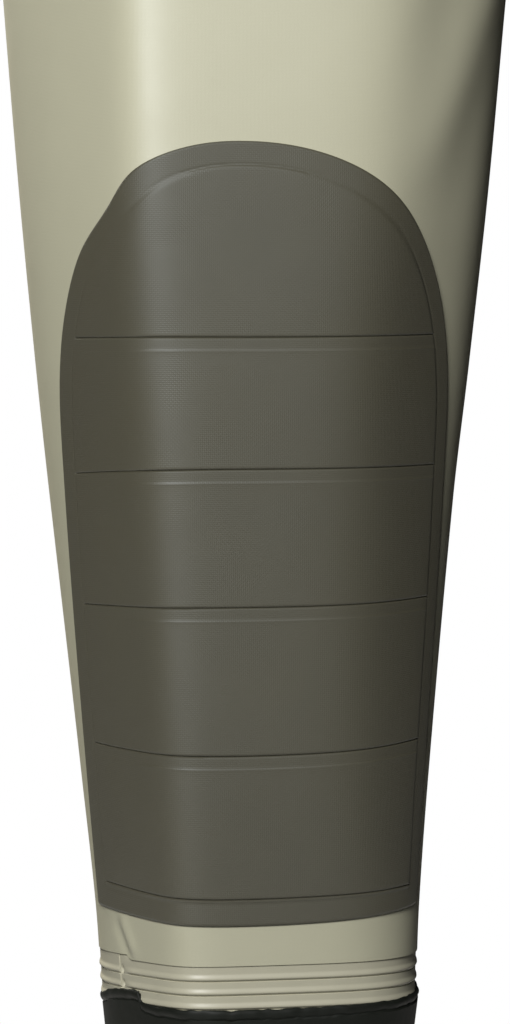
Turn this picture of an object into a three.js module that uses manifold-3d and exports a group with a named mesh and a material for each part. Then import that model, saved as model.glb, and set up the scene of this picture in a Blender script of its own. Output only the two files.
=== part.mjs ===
// Wading boot with its wader leg, for the right foot, empty and standing on its sole.
// Units are millimetres and +Z is up. The toe points along -Y, and +X is the wearer's inner side.
// The origin lies on the flat underside of the heel, below the middle of the heel.

import * as THREE from 'three';
import { mergeVertices } from 'three/addons/utils/BufferGeometryUtils.js';
import Module from 'manifold-3d';

// Sole
const SOLE_LENGTH = 308;
const SOLE_BACK = 38; // from the origin to the back end of the sole
const BALL_WIDTH = 112;
const HEEL_BLOCK_LENGTH = 76;
const HEEL_HEIGHT = 32;
const FOREFOOT_HEIGHT = 19;
const ARCH_HEIGHT = 10; // free height under the waist
const TOE_SPRING = 13;
const HEEL_STRIKE = 3; // lift of the heel's back edge
const SOLE_MARGIN = 5; // how far the sole's edge stands out from the upper
const FLANGE_HEIGHT = 8; // the wider upper part of the sole's side
const FLANGE_STEP = 2; // how far the side below the flange is set back
const LUG_DEPTH = 5;
const LUG_PITCH = 17;
const GROOVE_WIDTH = 5.5;
const CENTRE_LUG_WIDTH = 27;
const CHEVRON_DEGREES = 14;
const INSOLE_THICKNESS = 3.5;
const INSOLE_CLEARANCE = 1.5;

// Rubber upper
const RUBBER_WALL = 2.8;
const RAND_THICKNESS = 2;
const RAND_TOE_HEIGHT = 34; // all three above the sole's seat
const RAND_SIDE_HEIGHT = 15;
const RAND_HEEL_HEIGHT = 34;
const TOE_BOX_RISE = 49; // how steeply the toe starts to rise
const HEEL_RISE = 40;
const INSTEP_DROP = 62; // how gently the instep turns up into the shaft
const HEEL_DROP = 40;
const TOE_LEAN = 10; // how far the walls lean out over the sole
const HEEL_LEAN = 9;
const ANKLE_HEIGHT = 150;
const ANKLE_WIDTH = 94;
const ANKLE_DEPTH = 122;
const ANKLE_SET_FORWARD = 31; // from the origin to the middle of the ankle

// Joint of boot and leg
const BOOT_HEIGHT = 320;
const BOOT_TOP_GIRTH = 433;
const NECK_WALL = 2.2; // the thinner rubber inside the joint
const NECK_SLOPE = 16; // height in which the shaft thins down to the neck
const BINDING_HEIGHT = 14;
const BINDING_THICKNESS = 1.3;
const BINDING_ROUND = 0.8;
const BAND_LAP = 7; // the band's hidden edge under the binding
const BAND_WALL = 1.1;
const RIB_COUNT = 3;
const RIB_PITCH = 6.4;
const RIB_DEPTH = 0.9;
const RIB_UNDERSIDE = 0.6;
const RIB_CREST = 3.4;
const LEG_LAP = 10; // how far the leg reaches down over the band

// Leg
const LEG_SET_FORWARD = 34; // from the origin to the middle of the leg
const LEG_RISE = 460; // from the boot's edge to the leg's top
const LEG_TOP_GIRTH = 656;
const LEG_CLOTH = 1.2;
const HEM_HEIGHT = 15;
const HEM_CLOTH = 1;

// Knee and shin pad, measured up the leg and round it
const PAD_BOTTOM = 35; // above the boot's edge
const PAD_HEIGHT = 316;
const PAD_HALF_WIDTH = 92.5;
const PAD_TAPER = 13.5; // how much narrower each half is at the bottom
const PAD_DOME_HEIGHT = 111; // the rounded top part
const PAD_BORDER = 10;
const PAD_VALLEY = 4; // flat strip between two panels
const PATCH_CLOTH = 0.9;
const PANEL_FOAM = 1.5;

// Fit and fineness
const FIT_GAP = 0.3;
const SIDES = 48; // ribs round the boot and leg
const FOOT_ROWS = 8;
const RAND_ROWS = 4;
const LEG_ROWS = 7;
const PAD_COLUMNS = 8;
const SOLE_SIDES = 60; // the sole's edge is finer than the boot's ribs
const PROFILE_POINTS = 28;

// Plan of the sole. along: share of the length from the back. inner and outer: distances from the
// middle line on the wearer's inner and outer side, as shares of half the ball width.
const SOLE_PLAN = [
  { along: 0.025, inner: 0.33, outer: 0.33 },
  { along: 0.09, inner: 0.585, outer: 0.6 },
  { along: 0.19, inner: 0.655, outer: 0.69 },
  { along: 0.33, inner: 0.61, outer: 0.715 },
  { along: 0.47, inner: 0.6, outer: 0.79 },
  { along: 0.6, inner: 0.79, outer: 0.93 },
  { along: 0.71, inner: 0.965, outer: 1.03 },
  { along: 0.81, inner: 1.0, outer: 0.95 },
  { along: 0.9, inner: 0.885, outer: 0.69 },
  { along: 0.965, inner: 0.62, outer: 0.34 },
];
const TOE_TIP_SIDE = 0.17; // the tip lies towards the inner side, share of half the ball width

// Side view of the sole's seat. drop: share of the heel's extra height. spring: share of the toe spring.
const SEAT = [
  { along: 0, drop: 1.03, spring: 0 },
  { along: 0.12, drop: 1, spring: 0 },
  { along: 0.27, drop: 0.9, spring: 0 },
  { along: 0.42, drop: 0.52, spring: 0 },
  { along: 0.56, drop: 0.14, spring: 0 },
  { along: 0.68, drop: 0, spring: 0 },
  { along: 0.78, drop: 0, spring: 0.06 },
  { along: 0.88, drop: 0, spring: 0.33 },
  { along: 0.95, drop: 0, spring: 0.67 },
  { along: 1, drop: 0, spring: 1 },
];
const FOREFOOT_FLAT = { from: 0.5, to: 0.78 }; // the forefoot's part that lies on the ground
const ARCH_BREAST = 0.012; // slope of the heel's front face, share of the length
const TOE_CURVE = [
  { along: 0.86, spring: 0.13 },
  { along: 0.93, spring: 0.45 },
  { along: 1, spring: 1 },
];

// Flats that the leg's cloth takes round its axis. turn: degrees from the front to the inner side.
const FLATS = [
  { side: 'front', turn: 16 },
  { side: 'innerFront', turn: 56 },
  { side: 'inner', turn: 93 },
  { side: 'innerBack', turn: 128 },
  { side: 'back', turn: 176 },
  { side: 'outerBack', turn: -137 },
  { side: 'outer', turn: -89 },
  { side: 'outerFront', turn: -46 },
];

// Sections of the leg. rise: share of the leg's rise. growth: share of the girth that it gains.
// crease: sharpness of the folds between the flats. The other columns hold each flat's distance
// from the axis, as a share of the radius of a round tube of the same girth.
const LEG_SECTIONS = [
  {
    rise: 0, growth: 0, crease: 12, front: 0.915, innerFront: 1.07, inner: 0.985, innerBack: 0.99,
    back: 1.06, outerBack: 0.965, outer: 0.93, outerFront: 0.98,
  },
  {
    rise: 0.08, growth: 0.068, crease: 14, front: 0.925, innerFront: 1.05, inner: 0.965, innerBack: 0.975,
    back: 1.04, outerBack: 0.955, outer: 0.93, outerFront: 0.995,
  },
  {
    rise: 0.2, growth: 0.21, crease: 15, front: 0.94, innerFront: 1.035, inner: 0.955, innerBack: 0.955,
    back: 1.02, outerBack: 0.955, outer: 0.945, outerFront: 1.0,
  },
  {
    rise: 0.45, growth: 0.5, crease: 15, front: 0.93, innerFront: 1.005, inner: 0.965, innerBack: 0.95,
    back: 0.99, outerBack: 0.955, outer: 0.98, outerFront: 1.02,
  },
  {
    rise: 0.57, growth: 0.65, crease: 15, front: 0.92, innerFront: 0.99, inner: 0.99, innerBack: 0.955,
    back: 0.975, outerBack: 0.95, outer: 0.985, outerFront: 1.03,
  },
  {
    rise: 0.74, growth: 0.81, crease: 16, front: 0.9, innerFront: 0.985, inner: 1.005, innerBack: 0.955,
    back: 0.96, outerBack: 0.95, outer: 1.0, outerFront: 1.035,
  },
  {
    rise: 1, growth: 1, crease: 16, front: 0.87, innerFront: 0.96, inner: 1.055, innerBack: 0.97,
    back: 0.945, outerBack: 0.96, outer: 1.035, outerFront: 1.015,
  },
];

// Quilting seams of the pad, as shares of its height, from the top down.
const PAD_SEAMS = [0.752, 0.586, 0.41, 0.22];
const PAD_DOME_ROUNDNESS = 2.15;
const PAD_TAPER_CURVE = 1.4;

// Heights and depths that follow from the sizes above. A depth is measured in from the leg's face.
const HALF_BALL = BALL_WIDTH / 2;
const HEM_EDGE = BOOT_HEIGHT + RIB_COUNT * RIB_PITCH - RIB_UNDERSIDE; // the leg's lower edge
const NECK_TOP = HEM_EDGE + LEG_LAP;
const LEG_TOP = BOOT_HEIGHT + LEG_RISE;
const BINDING_LOW = BOOT_HEIGHT - BINDING_HEIGHT;
const BAND_LOW = BOOT_HEIGHT - BAND_LAP;
const UNDER_BINDING = BINDING_THICKNESS + FIT_GAP;
const UNDER_LEG = LEG_CLOTH + FIT_GAP;
const BAND_INSIDE = Math.max(UNDER_BINDING, UNDER_LEG) + BAND_WALL;
const NECK_OUTSIDE = BAND_INSIDE + FIT_GAP;
const NECK_INSIDE = NECK_OUTSIDE + NECK_WALL;
const PAD_LOW = BOOT_HEIGHT + PAD_BOTTOM;
const PAD_TOP = PAD_LOW + PAD_HEIGHT;
const PATCH_OUTSIDE = FIT_GAP + PATCH_CLOTH;
const TURN = Math.PI * 2;

const MATERIALS = {
  legCloth: { color: 0xbab69c, roughness: 0.7, metalness: 0 },
  hemCloth: { color: 0xa9a58c, roughness: 0.75, metalness: 0 },
  padCloth: { color: 0x5a5849, roughness: 0.85, metalness: 0 },
  padFoam: { color: 0x626051, roughness: 0.85, metalness: 0 },
  bandRubber: { color: 0xa9a48c, roughness: 0.6, metalness: 0 },
  bootRubber: { color: 0x23261f, roughness: 0.45, metalness: 0 },
  bindingRubber: { color: 0x1b1e19, roughness: 0.4, metalness: 0 },
  soleRubber: { color: 0x1a1b18, roughness: 0.6, metalness: 0 },
  insoleFelt: { color: 0x4a4b45, roughness: 0.9, metalness: 0 },
};

const wasm = await Module();
wasm.setup();

// Small helpers
const mix = (from, to, share) => from + (to - from) * share;
const clamp = (value, low, high) => Math.min(high, Math.max(low, value));
const steps = (count, low, high) => Array.from({ length: count + 1 }, (_, k) => mix(low, high, k / count));

// Smooth value of one column of a table at a place along its key column.
function follow(rows, key, column, at) {
  let k = 0;
  while (k < rows.length - 2 && at > rows[k + 1][key]) k += 1;
  const from = rows[k];
  const to = rows[k + 1];
  const before = rows[Math.max(0, k - 1)];
  const after = rows[Math.min(rows.length - 1, k + 2)];
  const span = to[key] - from[key];
  const leave = ((to[column] - before[column]) / (to[key] - before[key])) * span;
  const arrive = ((after[column] - from[column]) / (after[key] - from[key])) * span;
  const t = clamp((at - from[key]) / span, 0, 1);
  const ease = t * t * (3 - 2 * t);
  const bend = t * (1 - t);
  return mix(from[column], to[column], ease) + bend * ((1 - t) * leave - t * arrive);
}

// Plan and side view of the sole
const backToToe = (y) => (SOLE_BACK - y) / SOLE_LENGTH;
const placeAlong = (along) => SOLE_BACK - along * SOLE_LENGTH;

const planCurve = (() => {
  const point = (along, side) => new THREE.Vector3(side * HALF_BALL, placeAlong(along), 0);
  const innerSide = [...SOLE_PLAN].reverse().map((row) => point(row.along, row.inner));
  const outerSide = SOLE_PLAN.map((row) => point(row.along, -row.outer));
  const outline = [point(1, TOE_TIP_SIDE), ...innerSide, point(0, 0), ...outerSide];
  const curve = new THREE.CatmullRomCurve3(outline, true, 'centripetal');
  curve.arcLengthDivisions = 1200;
  return curve;
})();

// A point of the sole's plan, a share of the way round it from the toe tip, set in from its edge.
function planPoint(turn, inset) {
  const share = ((turn % 1) + 1) % 1;
  const edge = planCurve.getPointAt(share);
  const heading = planCurve.getTangentAt(share);
  return new THREE.Vector2(edge.x - heading.y * inset, edge.y + heading.x * inset);
}

function seatHeight(y) {
  const along = clamp(backToToe(y), 0, 1);
  const drop = follow(SEAT, 'along', 'drop', along);
  const spring = follow(SEAT, 'along', 'spring', along);
  return mix(FOREFOOT_HEIGHT, HEEL_HEIGHT, drop) + TOE_SPRING * spring;
}

// The sole's underside as points (y, z) from behind the heel to before the toe.
function undersideLine() {
  const heelFront = HEEL_BLOCK_LENGTH / SOLE_LENGTH;
  const line = [
    { along: 0, lift: HEEL_STRIKE },
    { along: 0.04, lift: 0 },
    { along: heelFront, lift: 0 },
    { along: heelFront + ARCH_BREAST, lift: ARCH_HEIGHT },
    { along: mix(heelFront, FOREFOOT_FLAT.from, 0.5), lift: ARCH_HEIGHT * 0.85 },
    { along: mix(heelFront, FOREFOOT_FLAT.from, 0.8), lift: ARCH_HEIGHT * 0.3 },
    { along: FOREFOOT_FLAT.from, lift: 0 },
    { along: FOREFOOT_FLAT.to, lift: 0 },
    ...TOE_CURVE.map((row) => ({ along: row.along, lift: row.spring * TOE_SPRING })),
  ];
  return line.map((row) => new THREE.Vector2(placeAlong(row.along), row.lift));
}

// Solids
function toSolid(geometry) {
  const bare = geometry.clone();
  bare.deleteAttribute('normal');
  bare.deleteAttribute('uv');
  const merged = mergeVertices(bare, 1e-4);
  const vertProperties = new Float32Array(merged.attributes.position.array);
  const triVerts = new Uint32Array(merged.index.array);
  return new wasm.Manifold(new wasm.Mesh({ numProp: 3, vertProperties, triVerts }));
}

function toGeometry(solid) {
  const { vertProperties, triVerts } = solid.getMesh();
  const geometry = new THREE.BufferGeometry();
  geometry.setAttribute('position', new THREE.BufferAttribute(vertProperties, 3));
  geometry.setIndex(new THREE.BufferAttribute(triVerts, 1));
  return geometry;
}

// A closed body from points and quads, with its faces turned outwards.
function bodyFromQuads(points, quads) {
  let volume = 0;
  const triangles = quads.flatMap(([a, b, c, d]) => [[a, b, c], [a, c, d]]);
  for (const [a, b, c] of triangles) {
    volume += points[a].dot(new THREE.Vector3().crossVectors(points[b], points[c]));
  }
  const order = volume < 0 ? triangles.map(([a, b, c]) => [a, c, b]) : triangles;
  const geometry = new THREE.BufferGeometry().setFromPoints(points);
  geometry.setIndex(order.flat());
  return geometry;
}

// A wall that runs right round: loops of points, joined each to the next and the last to the first.
function wallFromLoops(loops) {
  const sides = loops[0].length;
  const quads = [];
  loops.forEach((_, k) => {
    const next = (k + 1) % loops.length;
    for (let i = 0; i < sides; i += 1) {
      const j = (i + 1) % sides;
      quads.push([k * sides + i, k * sides + j, next * sides + j, next * sides + i]);
    }
  });
  return bodyFromQuads(loops.flat(), quads);
}

const loopOf = (pointAt) => Array.from({ length: SIDES }, (_, i) => pointAt(i / SIDES));

// A level prism of the sole's plan, and a prism of a side view that runs across the foot.
function planPrism(inset, sides) {
  const outline = Array.from({ length: sides }, (_, k) => planPoint(k / sides, inset));
  const shape = new THREE.Shape(outline);
  const depth = HEEL_HEIGHT + TOE_SPRING + INSOLE_THICKNESS + SOLE_MARGIN;
  const geometry = new THREE.ExtrudeGeometry(shape, { depth, bevelEnabled: false });
  geometry.translate(0, 0, -1);
  return toSolid(geometry);
}

function sidePrism(line) {
  const shape = new THREE.Shape(line);
  const geometry = new THREE.ExtrudeGeometry(shape, { depth: BALL_WIDTH * 2, bevelEnabled: false });
  const [across, along, up] = [new THREE.Vector3(1, 0, 0), new THREE.Vector3(0, 1, 0), new THREE.Vector3(0, 0, 1)];
  geometry.applyMatrix4(new THREE.Matrix4().makeBasis(along, up, across));
  geometry.translate(-BALL_WIDTH, 0, 0);
  return toSolid(geometry);
}

// The seat's line, lifted by an amount, past both ends of the sole.
function seatLine(lift) {
  const inside = steps(PROFILE_POINTS, 0, 1).map((along) => {
    const y = placeAlong(along);
    return new THREE.Vector2(y, seatHeight(y) + lift);
  });
  const back = inside[0].clone().add(new THREE.Vector2(SOLE_MARGIN, 0));
  const front = inside.at(-1).clone().add(new THREE.Vector2(-SOLE_MARGIN, 0));
  return [back, ...inside, front];
}

function undersidePast(lift) {
  const line = undersideLine().map((point) => point.clone().add(new THREE.Vector2(0, lift)));
  const back = line[0].clone().add(new THREE.Vector2(SOLE_MARGIN, 0));
  const front = line.at(-1).clone().add(new THREE.Vector2(-SOLE_MARGIN, 0));
  return [back, ...line, front];
}

// Grooves between the lugs
function chevronGroove(y) {
  const reach = BALL_WIDTH;
  const sweep = reach * Math.tan(THREE.MathUtils.degToRad(CHEVRON_DEGREES));
  const half = GROOVE_WIDTH / 2;
  const shape = new THREE.Shape([
    new THREE.Vector2(0, y - half),
    new THREE.Vector2(reach, y + sweep - half),
    new THREE.Vector2(reach, y + sweep + half),
    new THREE.Vector2(0, y + half),
    new THREE.Vector2(-reach, y + sweep + half),
    new THREE.Vector2(-reach, y + sweep - half),
  ]);
  return grooveSolid(shape);
}

function lengthGroove(x, fromY, toY) {
  const half = GROOVE_WIDTH / 2;
  return grooveSolid(new THREE.Shape([
    new THREE.Vector2(x - half, toY),
    new THREE.Vector2(x + half, toY),
    new THREE.Vector2(x + half, fromY),
    new THREE.Vector2(x - half, fromY),
  ]));
}

function grooveSolid(shape) {
  const depth = TOE_SPRING + LUG_DEPTH + FOREFOOT_HEIGHT;
  const geometry = new THREE.ExtrudeGeometry(shape, { depth, bevelEnabled: false });
  geometry.translate(0, 0, -LUG_DEPTH);
  return toSolid(geometry);
}

function treadGrooves() {
  const heelFront = SOLE_BACK - HEEL_BLOCK_LENGTH;
  const foreBack = placeAlong(FOREFOOT_FLAT.from);
  const toe = placeAlong(1);
  const besideCentre = (CENTRE_LUG_WIDTH + GROOVE_WIDTH) / 2;
  const grooves = [chevronGroove(-LUG_PITCH), chevronGroove(LUG_PITCH)];
  for (let y = foreBack - LUG_PITCH / 2; y > toe + LUG_PITCH / 2; y -= LUG_PITCH) {
    grooves.push(chevronGroove(y));
  }
  for (const x of [-besideCentre, besideCentre]) {
    grooves.push(lengthGroove(x, SOLE_BACK + SOLE_MARGIN, heelFront - GROOVE_WIDTH));
    grooves.push(lengthGroove(x, foreBack + GROOVE_WIDTH, toe - SOLE_MARGIN));
  }
  const tread = sidePrism([...undersidePast(-1), ...undersidePast(LUG_DEPTH).reverse()]);
  return wasm.Manifold.union(grooves).intersect(tread);
}

function makeOutsole() {
  const flangeView = sidePrism([...seatLine(-FLANGE_HEIGHT), ...seatLine(0).reverse()]);
  const blockView = sidePrism([...undersidePast(0), ...seatLine(-FLANGE_HEIGHT / 2).reverse()]);
  const flange = planPrism(0, SOLE_SIDES).intersect(flangeView);
  const block = planPrism(FLANGE_STEP, SOLE_SIDES).intersect(blockView);
  return toGeometry(flange.add(block).subtract(treadGrooves()));
}

function makeInsole() {
  const low = seatLine(FIT_GAP);
  const high = seatLine(FIT_GAP + INSOLE_THICKNESS);
  const footbed = planPrism(SOLE_MARGIN + RUBBER_WALL + INSOLE_CLEARANCE, SIDES);
  return toGeometry(footbed.intersect(sidePrism([...low, ...high.reverse()])));
}

// Leg and shaft
function legRadius(turn, z, inset) {
  const rise = (z - BOOT_HEIGHT) / LEG_RISE;
  const column = (name) => follow(LEG_SECTIONS, 'rise', name, rise);
  const round = mix(BOOT_TOP_GIRTH, LEG_TOP_GIRTH, column('growth')) / TURN;
  const crease = column('crease');
  let sum = 0;
  for (const flat of FLATS) {
    const facing = Math.cos(turn * TURN - THREE.MathUtils.degToRad(flat.turn));
    if (facing > 0) sum += (facing / (column(flat.side) * round - inset)) ** crease;
  }
  return sum ** (-1 / crease);
}

function ankleRadius(turn, inset) {
  const across = Math.sin(turn * TURN) / (ANKLE_WIDTH / 2 - inset);
  const along = Math.cos(turn * TURN) / (ANKLE_DEPTH / 2 - inset);
  return 1 / Math.hypot(across, along);
}

// A point of the shaft or leg, a share of the way round from the front, set in from the face.
function shaftPoint(turn, z, inset = 0) {
  const up = clamp((z - ANKLE_HEIGHT) / (BOOT_HEIGHT - ANKLE_HEIGHT), 0, 1);
  const radius = mix(ankleRadius(turn, inset), legRadius(turn, Math.max(z, BOOT_HEIGHT), inset), up);
  const forward = mix(ANKLE_SET_FORWARD, LEG_SET_FORWARD, up);
  return new THREE.Vector3(radius * Math.sin(turn * TURN), -forward - radius * Math.cos(turn * TURN), z);
}

// The upper's lower edge, seated on the sole.
function featherPoint(turn, inset = 0) {
  const plan = planPoint(turn, SOLE_MARGIN + inset);
  return new THREE.Vector3(plan.x, plan.y, seatHeight(plan.y) + FIT_GAP);
}

// A point of the foot's face on the rib that rises from the sole's edge and bends up to the ankle.
function footFace(turn, rise) {
  const toeward = (1 + Math.cos(turn * TURN)) / 2;
  const foot = featherPoint(turn);
  const ankle = shaftPoint(turn, ANKLE_HEIGHT);
  const leaning = planPoint(turn, SOLE_MARGIN - mix(HEEL_LEAN, TOE_LEAN, toeward));
  const low = new THREE.Vector3(leaning.x, leaning.y, foot.z + mix(HEEL_RISE, TOE_BOX_RISE, toeward));
  const high = ankle.clone().setZ(ankle.z - mix(HEEL_DROP, INSTEP_DROP, toeward ** 2));
  return new THREE.CubicBezierCurve3(foot, low, high, ankle).getPoint(rise);
}

function footPoint(turn, rise, inset) {
  if (rise === 0) return featherPoint(turn, inset);
  const nudge = 0.002;
  const around = footFace(turn + nudge, rise).sub(footFace(turn - nudge, rise));
  const upward = footFace(turn, rise + nudge).sub(footFace(turn, rise - nudge));
  const outward = around.cross(upward).normalize();
  return footFace(turn, rise).addScaledVector(outward, -inset);
}

const footLoop = (rise, inset) => loopOf((turn) => footPoint(turn, rise, inset));
const shaftLoop = (z, inset) => loopOf((turn) => shaftPoint(turn, z, inset));
const footRises = () => steps(FOOT_ROWS, 0, 1).slice(0, -1);
const shaftLevels = (rows) => steps(rows, ANKLE_HEIGHT, BINDING_LOW - NECK_SLOPE);
const legLevels = () => steps(LEG_ROWS, HEM_EDGE, LEG_TOP);

function makeUpper() {
  const ledge = BINDING_LOW - FIT_GAP;
  const neck = BAND_LOW - FIT_GAP;
  const outside = [
    ...footRises().map((rise) => footLoop(rise, 0)),
    ...shaftLevels(4).map((z) => shaftLoop(z, 0)),
    shaftLoop(ledge, 0),
    shaftLoop(ledge, UNDER_BINDING),
    shaftLoop(neck, UNDER_BINDING),
    shaftLoop(neck, NECK_OUTSIDE),
    shaftLoop(NECK_TOP, NECK_OUTSIDE),
  ];
  const inside = [
    ...footRises().map((rise) => footLoop(rise, RUBBER_WALL)),
    ...shaftLevels(2).map((z) => shaftLoop(z, RUBBER_WALL)),
    shaftLoop(ledge, NECK_INSIDE),
    shaftLoop(NECK_TOP, NECK_INSIDE),
  ];
  return wallFromLoops([...outside, ...inside.reverse()]);
}

// The rand lies on the upper's face below a line that is high at toe and heel.
function makeRand() {
  const rises = footRises().slice(0, RAND_ROWS);
  const outside = rises.map((rise) => footLoop(rise, -FIT_GAP - RAND_THICKNESS));
  const inside = rises.map((rise) => footLoop(rise, -FIT_GAP));
  const shell = toSolid(wallFromLoops([...outside, ...inside.reverse()]));
  const topLine = steps(PROFILE_POINTS, 0, 1).map((along) => {
    const toeward = THREE.MathUtils.smoothstep(along, 0.62, 0.97);
    const heelward = 1 - THREE.MathUtils.smoothstep(along, 0.03, 0.34);
    const toe = (RAND_TOE_HEIGHT - RAND_SIDE_HEIGHT) * toeward;
    const heel = (RAND_HEEL_HEIGHT - RAND_SIDE_HEIGHT) * heelward;
    const y = placeAlong(along);
    return new THREE.Vector2(y, seatHeight(y) + RAND_SIDE_HEIGHT + toe + heel);
  });
  const floor = [new THREE.Vector2(placeAlong(0), 0), new THREE.Vector2(placeAlong(1), 0)];
  return toGeometry(shell.intersect(sidePrism([floor[0], ...topLine, floor[1]].reverse())));
}

function makeBinding() {
  return wallFromLoops([
    shaftLoop(BINDING_LOW, BINDING_THICKNESS),
    shaftLoop(BINDING_LOW, 0),
    shaftLoop(BOOT_HEIGHT - BINDING_ROUND, 0),
    shaftLoop(BOOT_HEIGHT, BINDING_ROUND),
    shaftLoop(BOOT_HEIGHT, BINDING_THICKNESS),
  ]);
}

// The band's ribs have a level underside and a sloping top.
function makeRibbedBand() {
  const ribs = Array.from({ length: RIB_COUNT }, (_, k) => {
    const low = BOOT_HEIGHT + FIT_GAP + k * RIB_PITCH;
    return [
      shaftLoop(low, RIB_DEPTH),
      shaftLoop(low + RIB_UNDERSIDE, 0),
      shaftLoop(low + RIB_UNDERSIDE + RIB_CREST, 0),
    ];
  });
  const shoulder = HEM_EDGE - FIT_GAP;
  return wallFromLoops([
    shaftLoop(BAND_LOW, UNDER_BINDING),
    shaftLoop(BOOT_HEIGHT + FIT_GAP, UNDER_BINDING),
    ...ribs.flat(),
    shaftLoop(shoulder, RIB_DEPTH),
    shaftLoop(shoulder, UNDER_LEG),
    shaftLoop(NECK_TOP, UNDER_LEG),
    shaftLoop(NECK_TOP, BAND_INSIDE),
    shaftLoop(BAND_LOW, BAND_INSIDE),
  ]);
}

function legShell(outside, inside) {
  const levels = legLevels();
  const face = levels.map((z) => shaftLoop(z, outside));
  const lining = levels.map((z) => shaftLoop(z, inside));
  return wallFromLoops([...face, ...lining.reverse()]);
}

// The hem folds over the leg's top edge.
function makeTopHem() {
  const low = LEG_TOP - HEM_HEIGHT;
  const edge = LEG_TOP + FIT_GAP;
  return wallFromLoops([
    shaftLoop(low, -FIT_GAP),
    shaftLoop(low, -FIT_GAP - HEM_CLOTH),
    shaftLoop(edge + HEM_CLOTH, -FIT_GAP - HEM_CLOTH),
    shaftLoop(edge + HEM_CLOTH, LEG_CLOTH),
    shaftLoop(edge, LEG_CLOTH),
    shaftLoop(edge, -FIT_GAP),
  ]);
}

// Knee and shin pad
function padHalfWidth(z, border) {
  const domeBase = PAD_TOP - PAD_DOME_HEIGHT;
  const half = PAD_HALF_WIDTH - border;
  if (z <= domeBase) {
    return half - PAD_TAPER * ((domeBase - z) / (domeBase - PAD_LOW)) ** PAD_TAPER_CURVE;
  }
  const up = (z - domeBase) / (PAD_DOME_HEIGHT - border);
  return half * (1 - up ** PAD_DOME_ROUNDNESS) ** (1 / PAD_DOME_ROUNDNESS);
}

// The share of the way round the leg that a level tape of a given length reaches from the front.
function turnAtArc(z, arc) {
  const stride = Math.sign(arc) / 720;
  let turn = 0;
  let run = 0;
  let here = shaftPoint(turn, z);
  while (run < Math.abs(arc)) {
    turn += stride;
    const next = shaftPoint(turn, z);
    run += next.distanceTo(here);
    here = next;
  }
  return turn;
}

// Levels of an outline between two heights, closer together where the dome curves in.
function padLevels(low, high, border) {
  const domeBase = PAD_TOP - PAD_DOME_HEIGHT;
  const crown = PAD_TOP - border;
  if (high < crown) return steps(3, low, high).map((z) => ({ z, widthAt: z }));
  const straight = steps(3, low, Math.max(low, domeBase)).slice(0, low < domeBase ? -1 : 0);
  const start = Math.max(low, domeBase);
  const firstAngle = Math.asin((start - domeBase) / (crown - domeBase));
  const lastAngle = THREE.MathUtils.degToRad(80);
  const dome = steps(7, firstAngle, lastAngle).map((angle) => mix(domeBase, crown, Math.sin(angle)));
  const levels = [...straight, ...dome].map((z) => ({ z, widthAt: z }));
  levels.at(-1).z = crown;
  return levels;
}

// A block that follows the leg round, with the pad's outline, set in by a border.
function padBlock(low, high, border) {
  const columns = PAD_COLUMNS;
  const reach = PATCH_OUTSIDE + PANEL_FOAM + RUBBER_WALL;
  const levels = padLevels(low, high, border);
  const grid = levels.map(({ z, widthAt }) => {
    const half = padHalfWidth(widthAt, border);
    return steps(columns, turnAtArc(z, -half), turnAtArc(z, half)).map((turn) => ({
      inner: shaftPoint(turn, z, reach),
      outer: shaftPoint(turn, z, -reach),
    }));
  });
  const points = grid.flat().flatMap((cell) => [cell.inner, cell.outer]);
  const at = (row, column, layer) => (row * (columns + 1) + column) * 2 + layer;
  const quads = [];
  const top = levels.length - 1;
  for (let row = 0; row < top; row += 1) {
    for (let c = 0; c < columns; c += 1) {
      quads.push([at(row, c, 1), at(row, c + 1, 1), at(row + 1, c + 1, 1), at(row + 1, c, 1)]);
      quads.push([at(row, c, 0), at(row + 1, c, 0), at(row + 1, c + 1, 0), at(row, c + 1, 0)]);
    }
    quads.push([at(row, 0, 0), at(row, 0, 1), at(row + 1, 0, 1), at(row + 1, 0, 0)]);
    quads.push([at(row, columns, 1), at(row, columns, 0), at(row + 1, columns, 0), at(row + 1, columns, 1)]);
  }
  for (let c = 0; c < columns; c += 1) {
    quads.push([at(0, c, 0), at(0, c + 1, 0), at(0, c + 1, 1), at(0, c, 1)]);
    quads.push([at(top, c, 1), at(top, c + 1, 1), at(top, c + 1, 0), at(top, c, 0)]);
  }
  return toSolid(bodyFromQuads(points, quads));
}

function makeKneePatch() {
  const shell = toSolid(legShell(-PATCH_OUTSIDE, -FIT_GAP));
  return toGeometry(shell.intersect(padBlock(PAD_LOW, PAD_TOP, 0)));
}

// Lower and upper edge of each raised panel, from the top panel down.
function panelEdges() {
  const seams = PAD_SEAMS.map((share) => PAD_LOW + share * PAD_HEIGHT);
  const lows = [...seams, PAD_LOW + PAD_BORDER];
  const highs = [PAD_TOP - PAD_BORDER, ...seams.map((seam) => seam - PAD_VALLEY)];
  return lows.map((low, k) => ({ low, high: highs[k] }));
}

function makeKneePanels() {
  const under = PATCH_OUTSIDE + FIT_GAP;
  const shell = toSolid(legShell(-under - PANEL_FOAM, -under));
  return panelEdges().map(({ low, high }) => toGeometry(shell.intersect(padBlock(low, high, PAD_BORDER))));
}

// Assembly
function addPiece(group, name, geometry, material) {
  const mesh = new THREE.Mesh(geometry, new THREE.MeshStandardMaterial(MATERIALS[material]));
  mesh.name = name;
  group.add(mesh);
}

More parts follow.
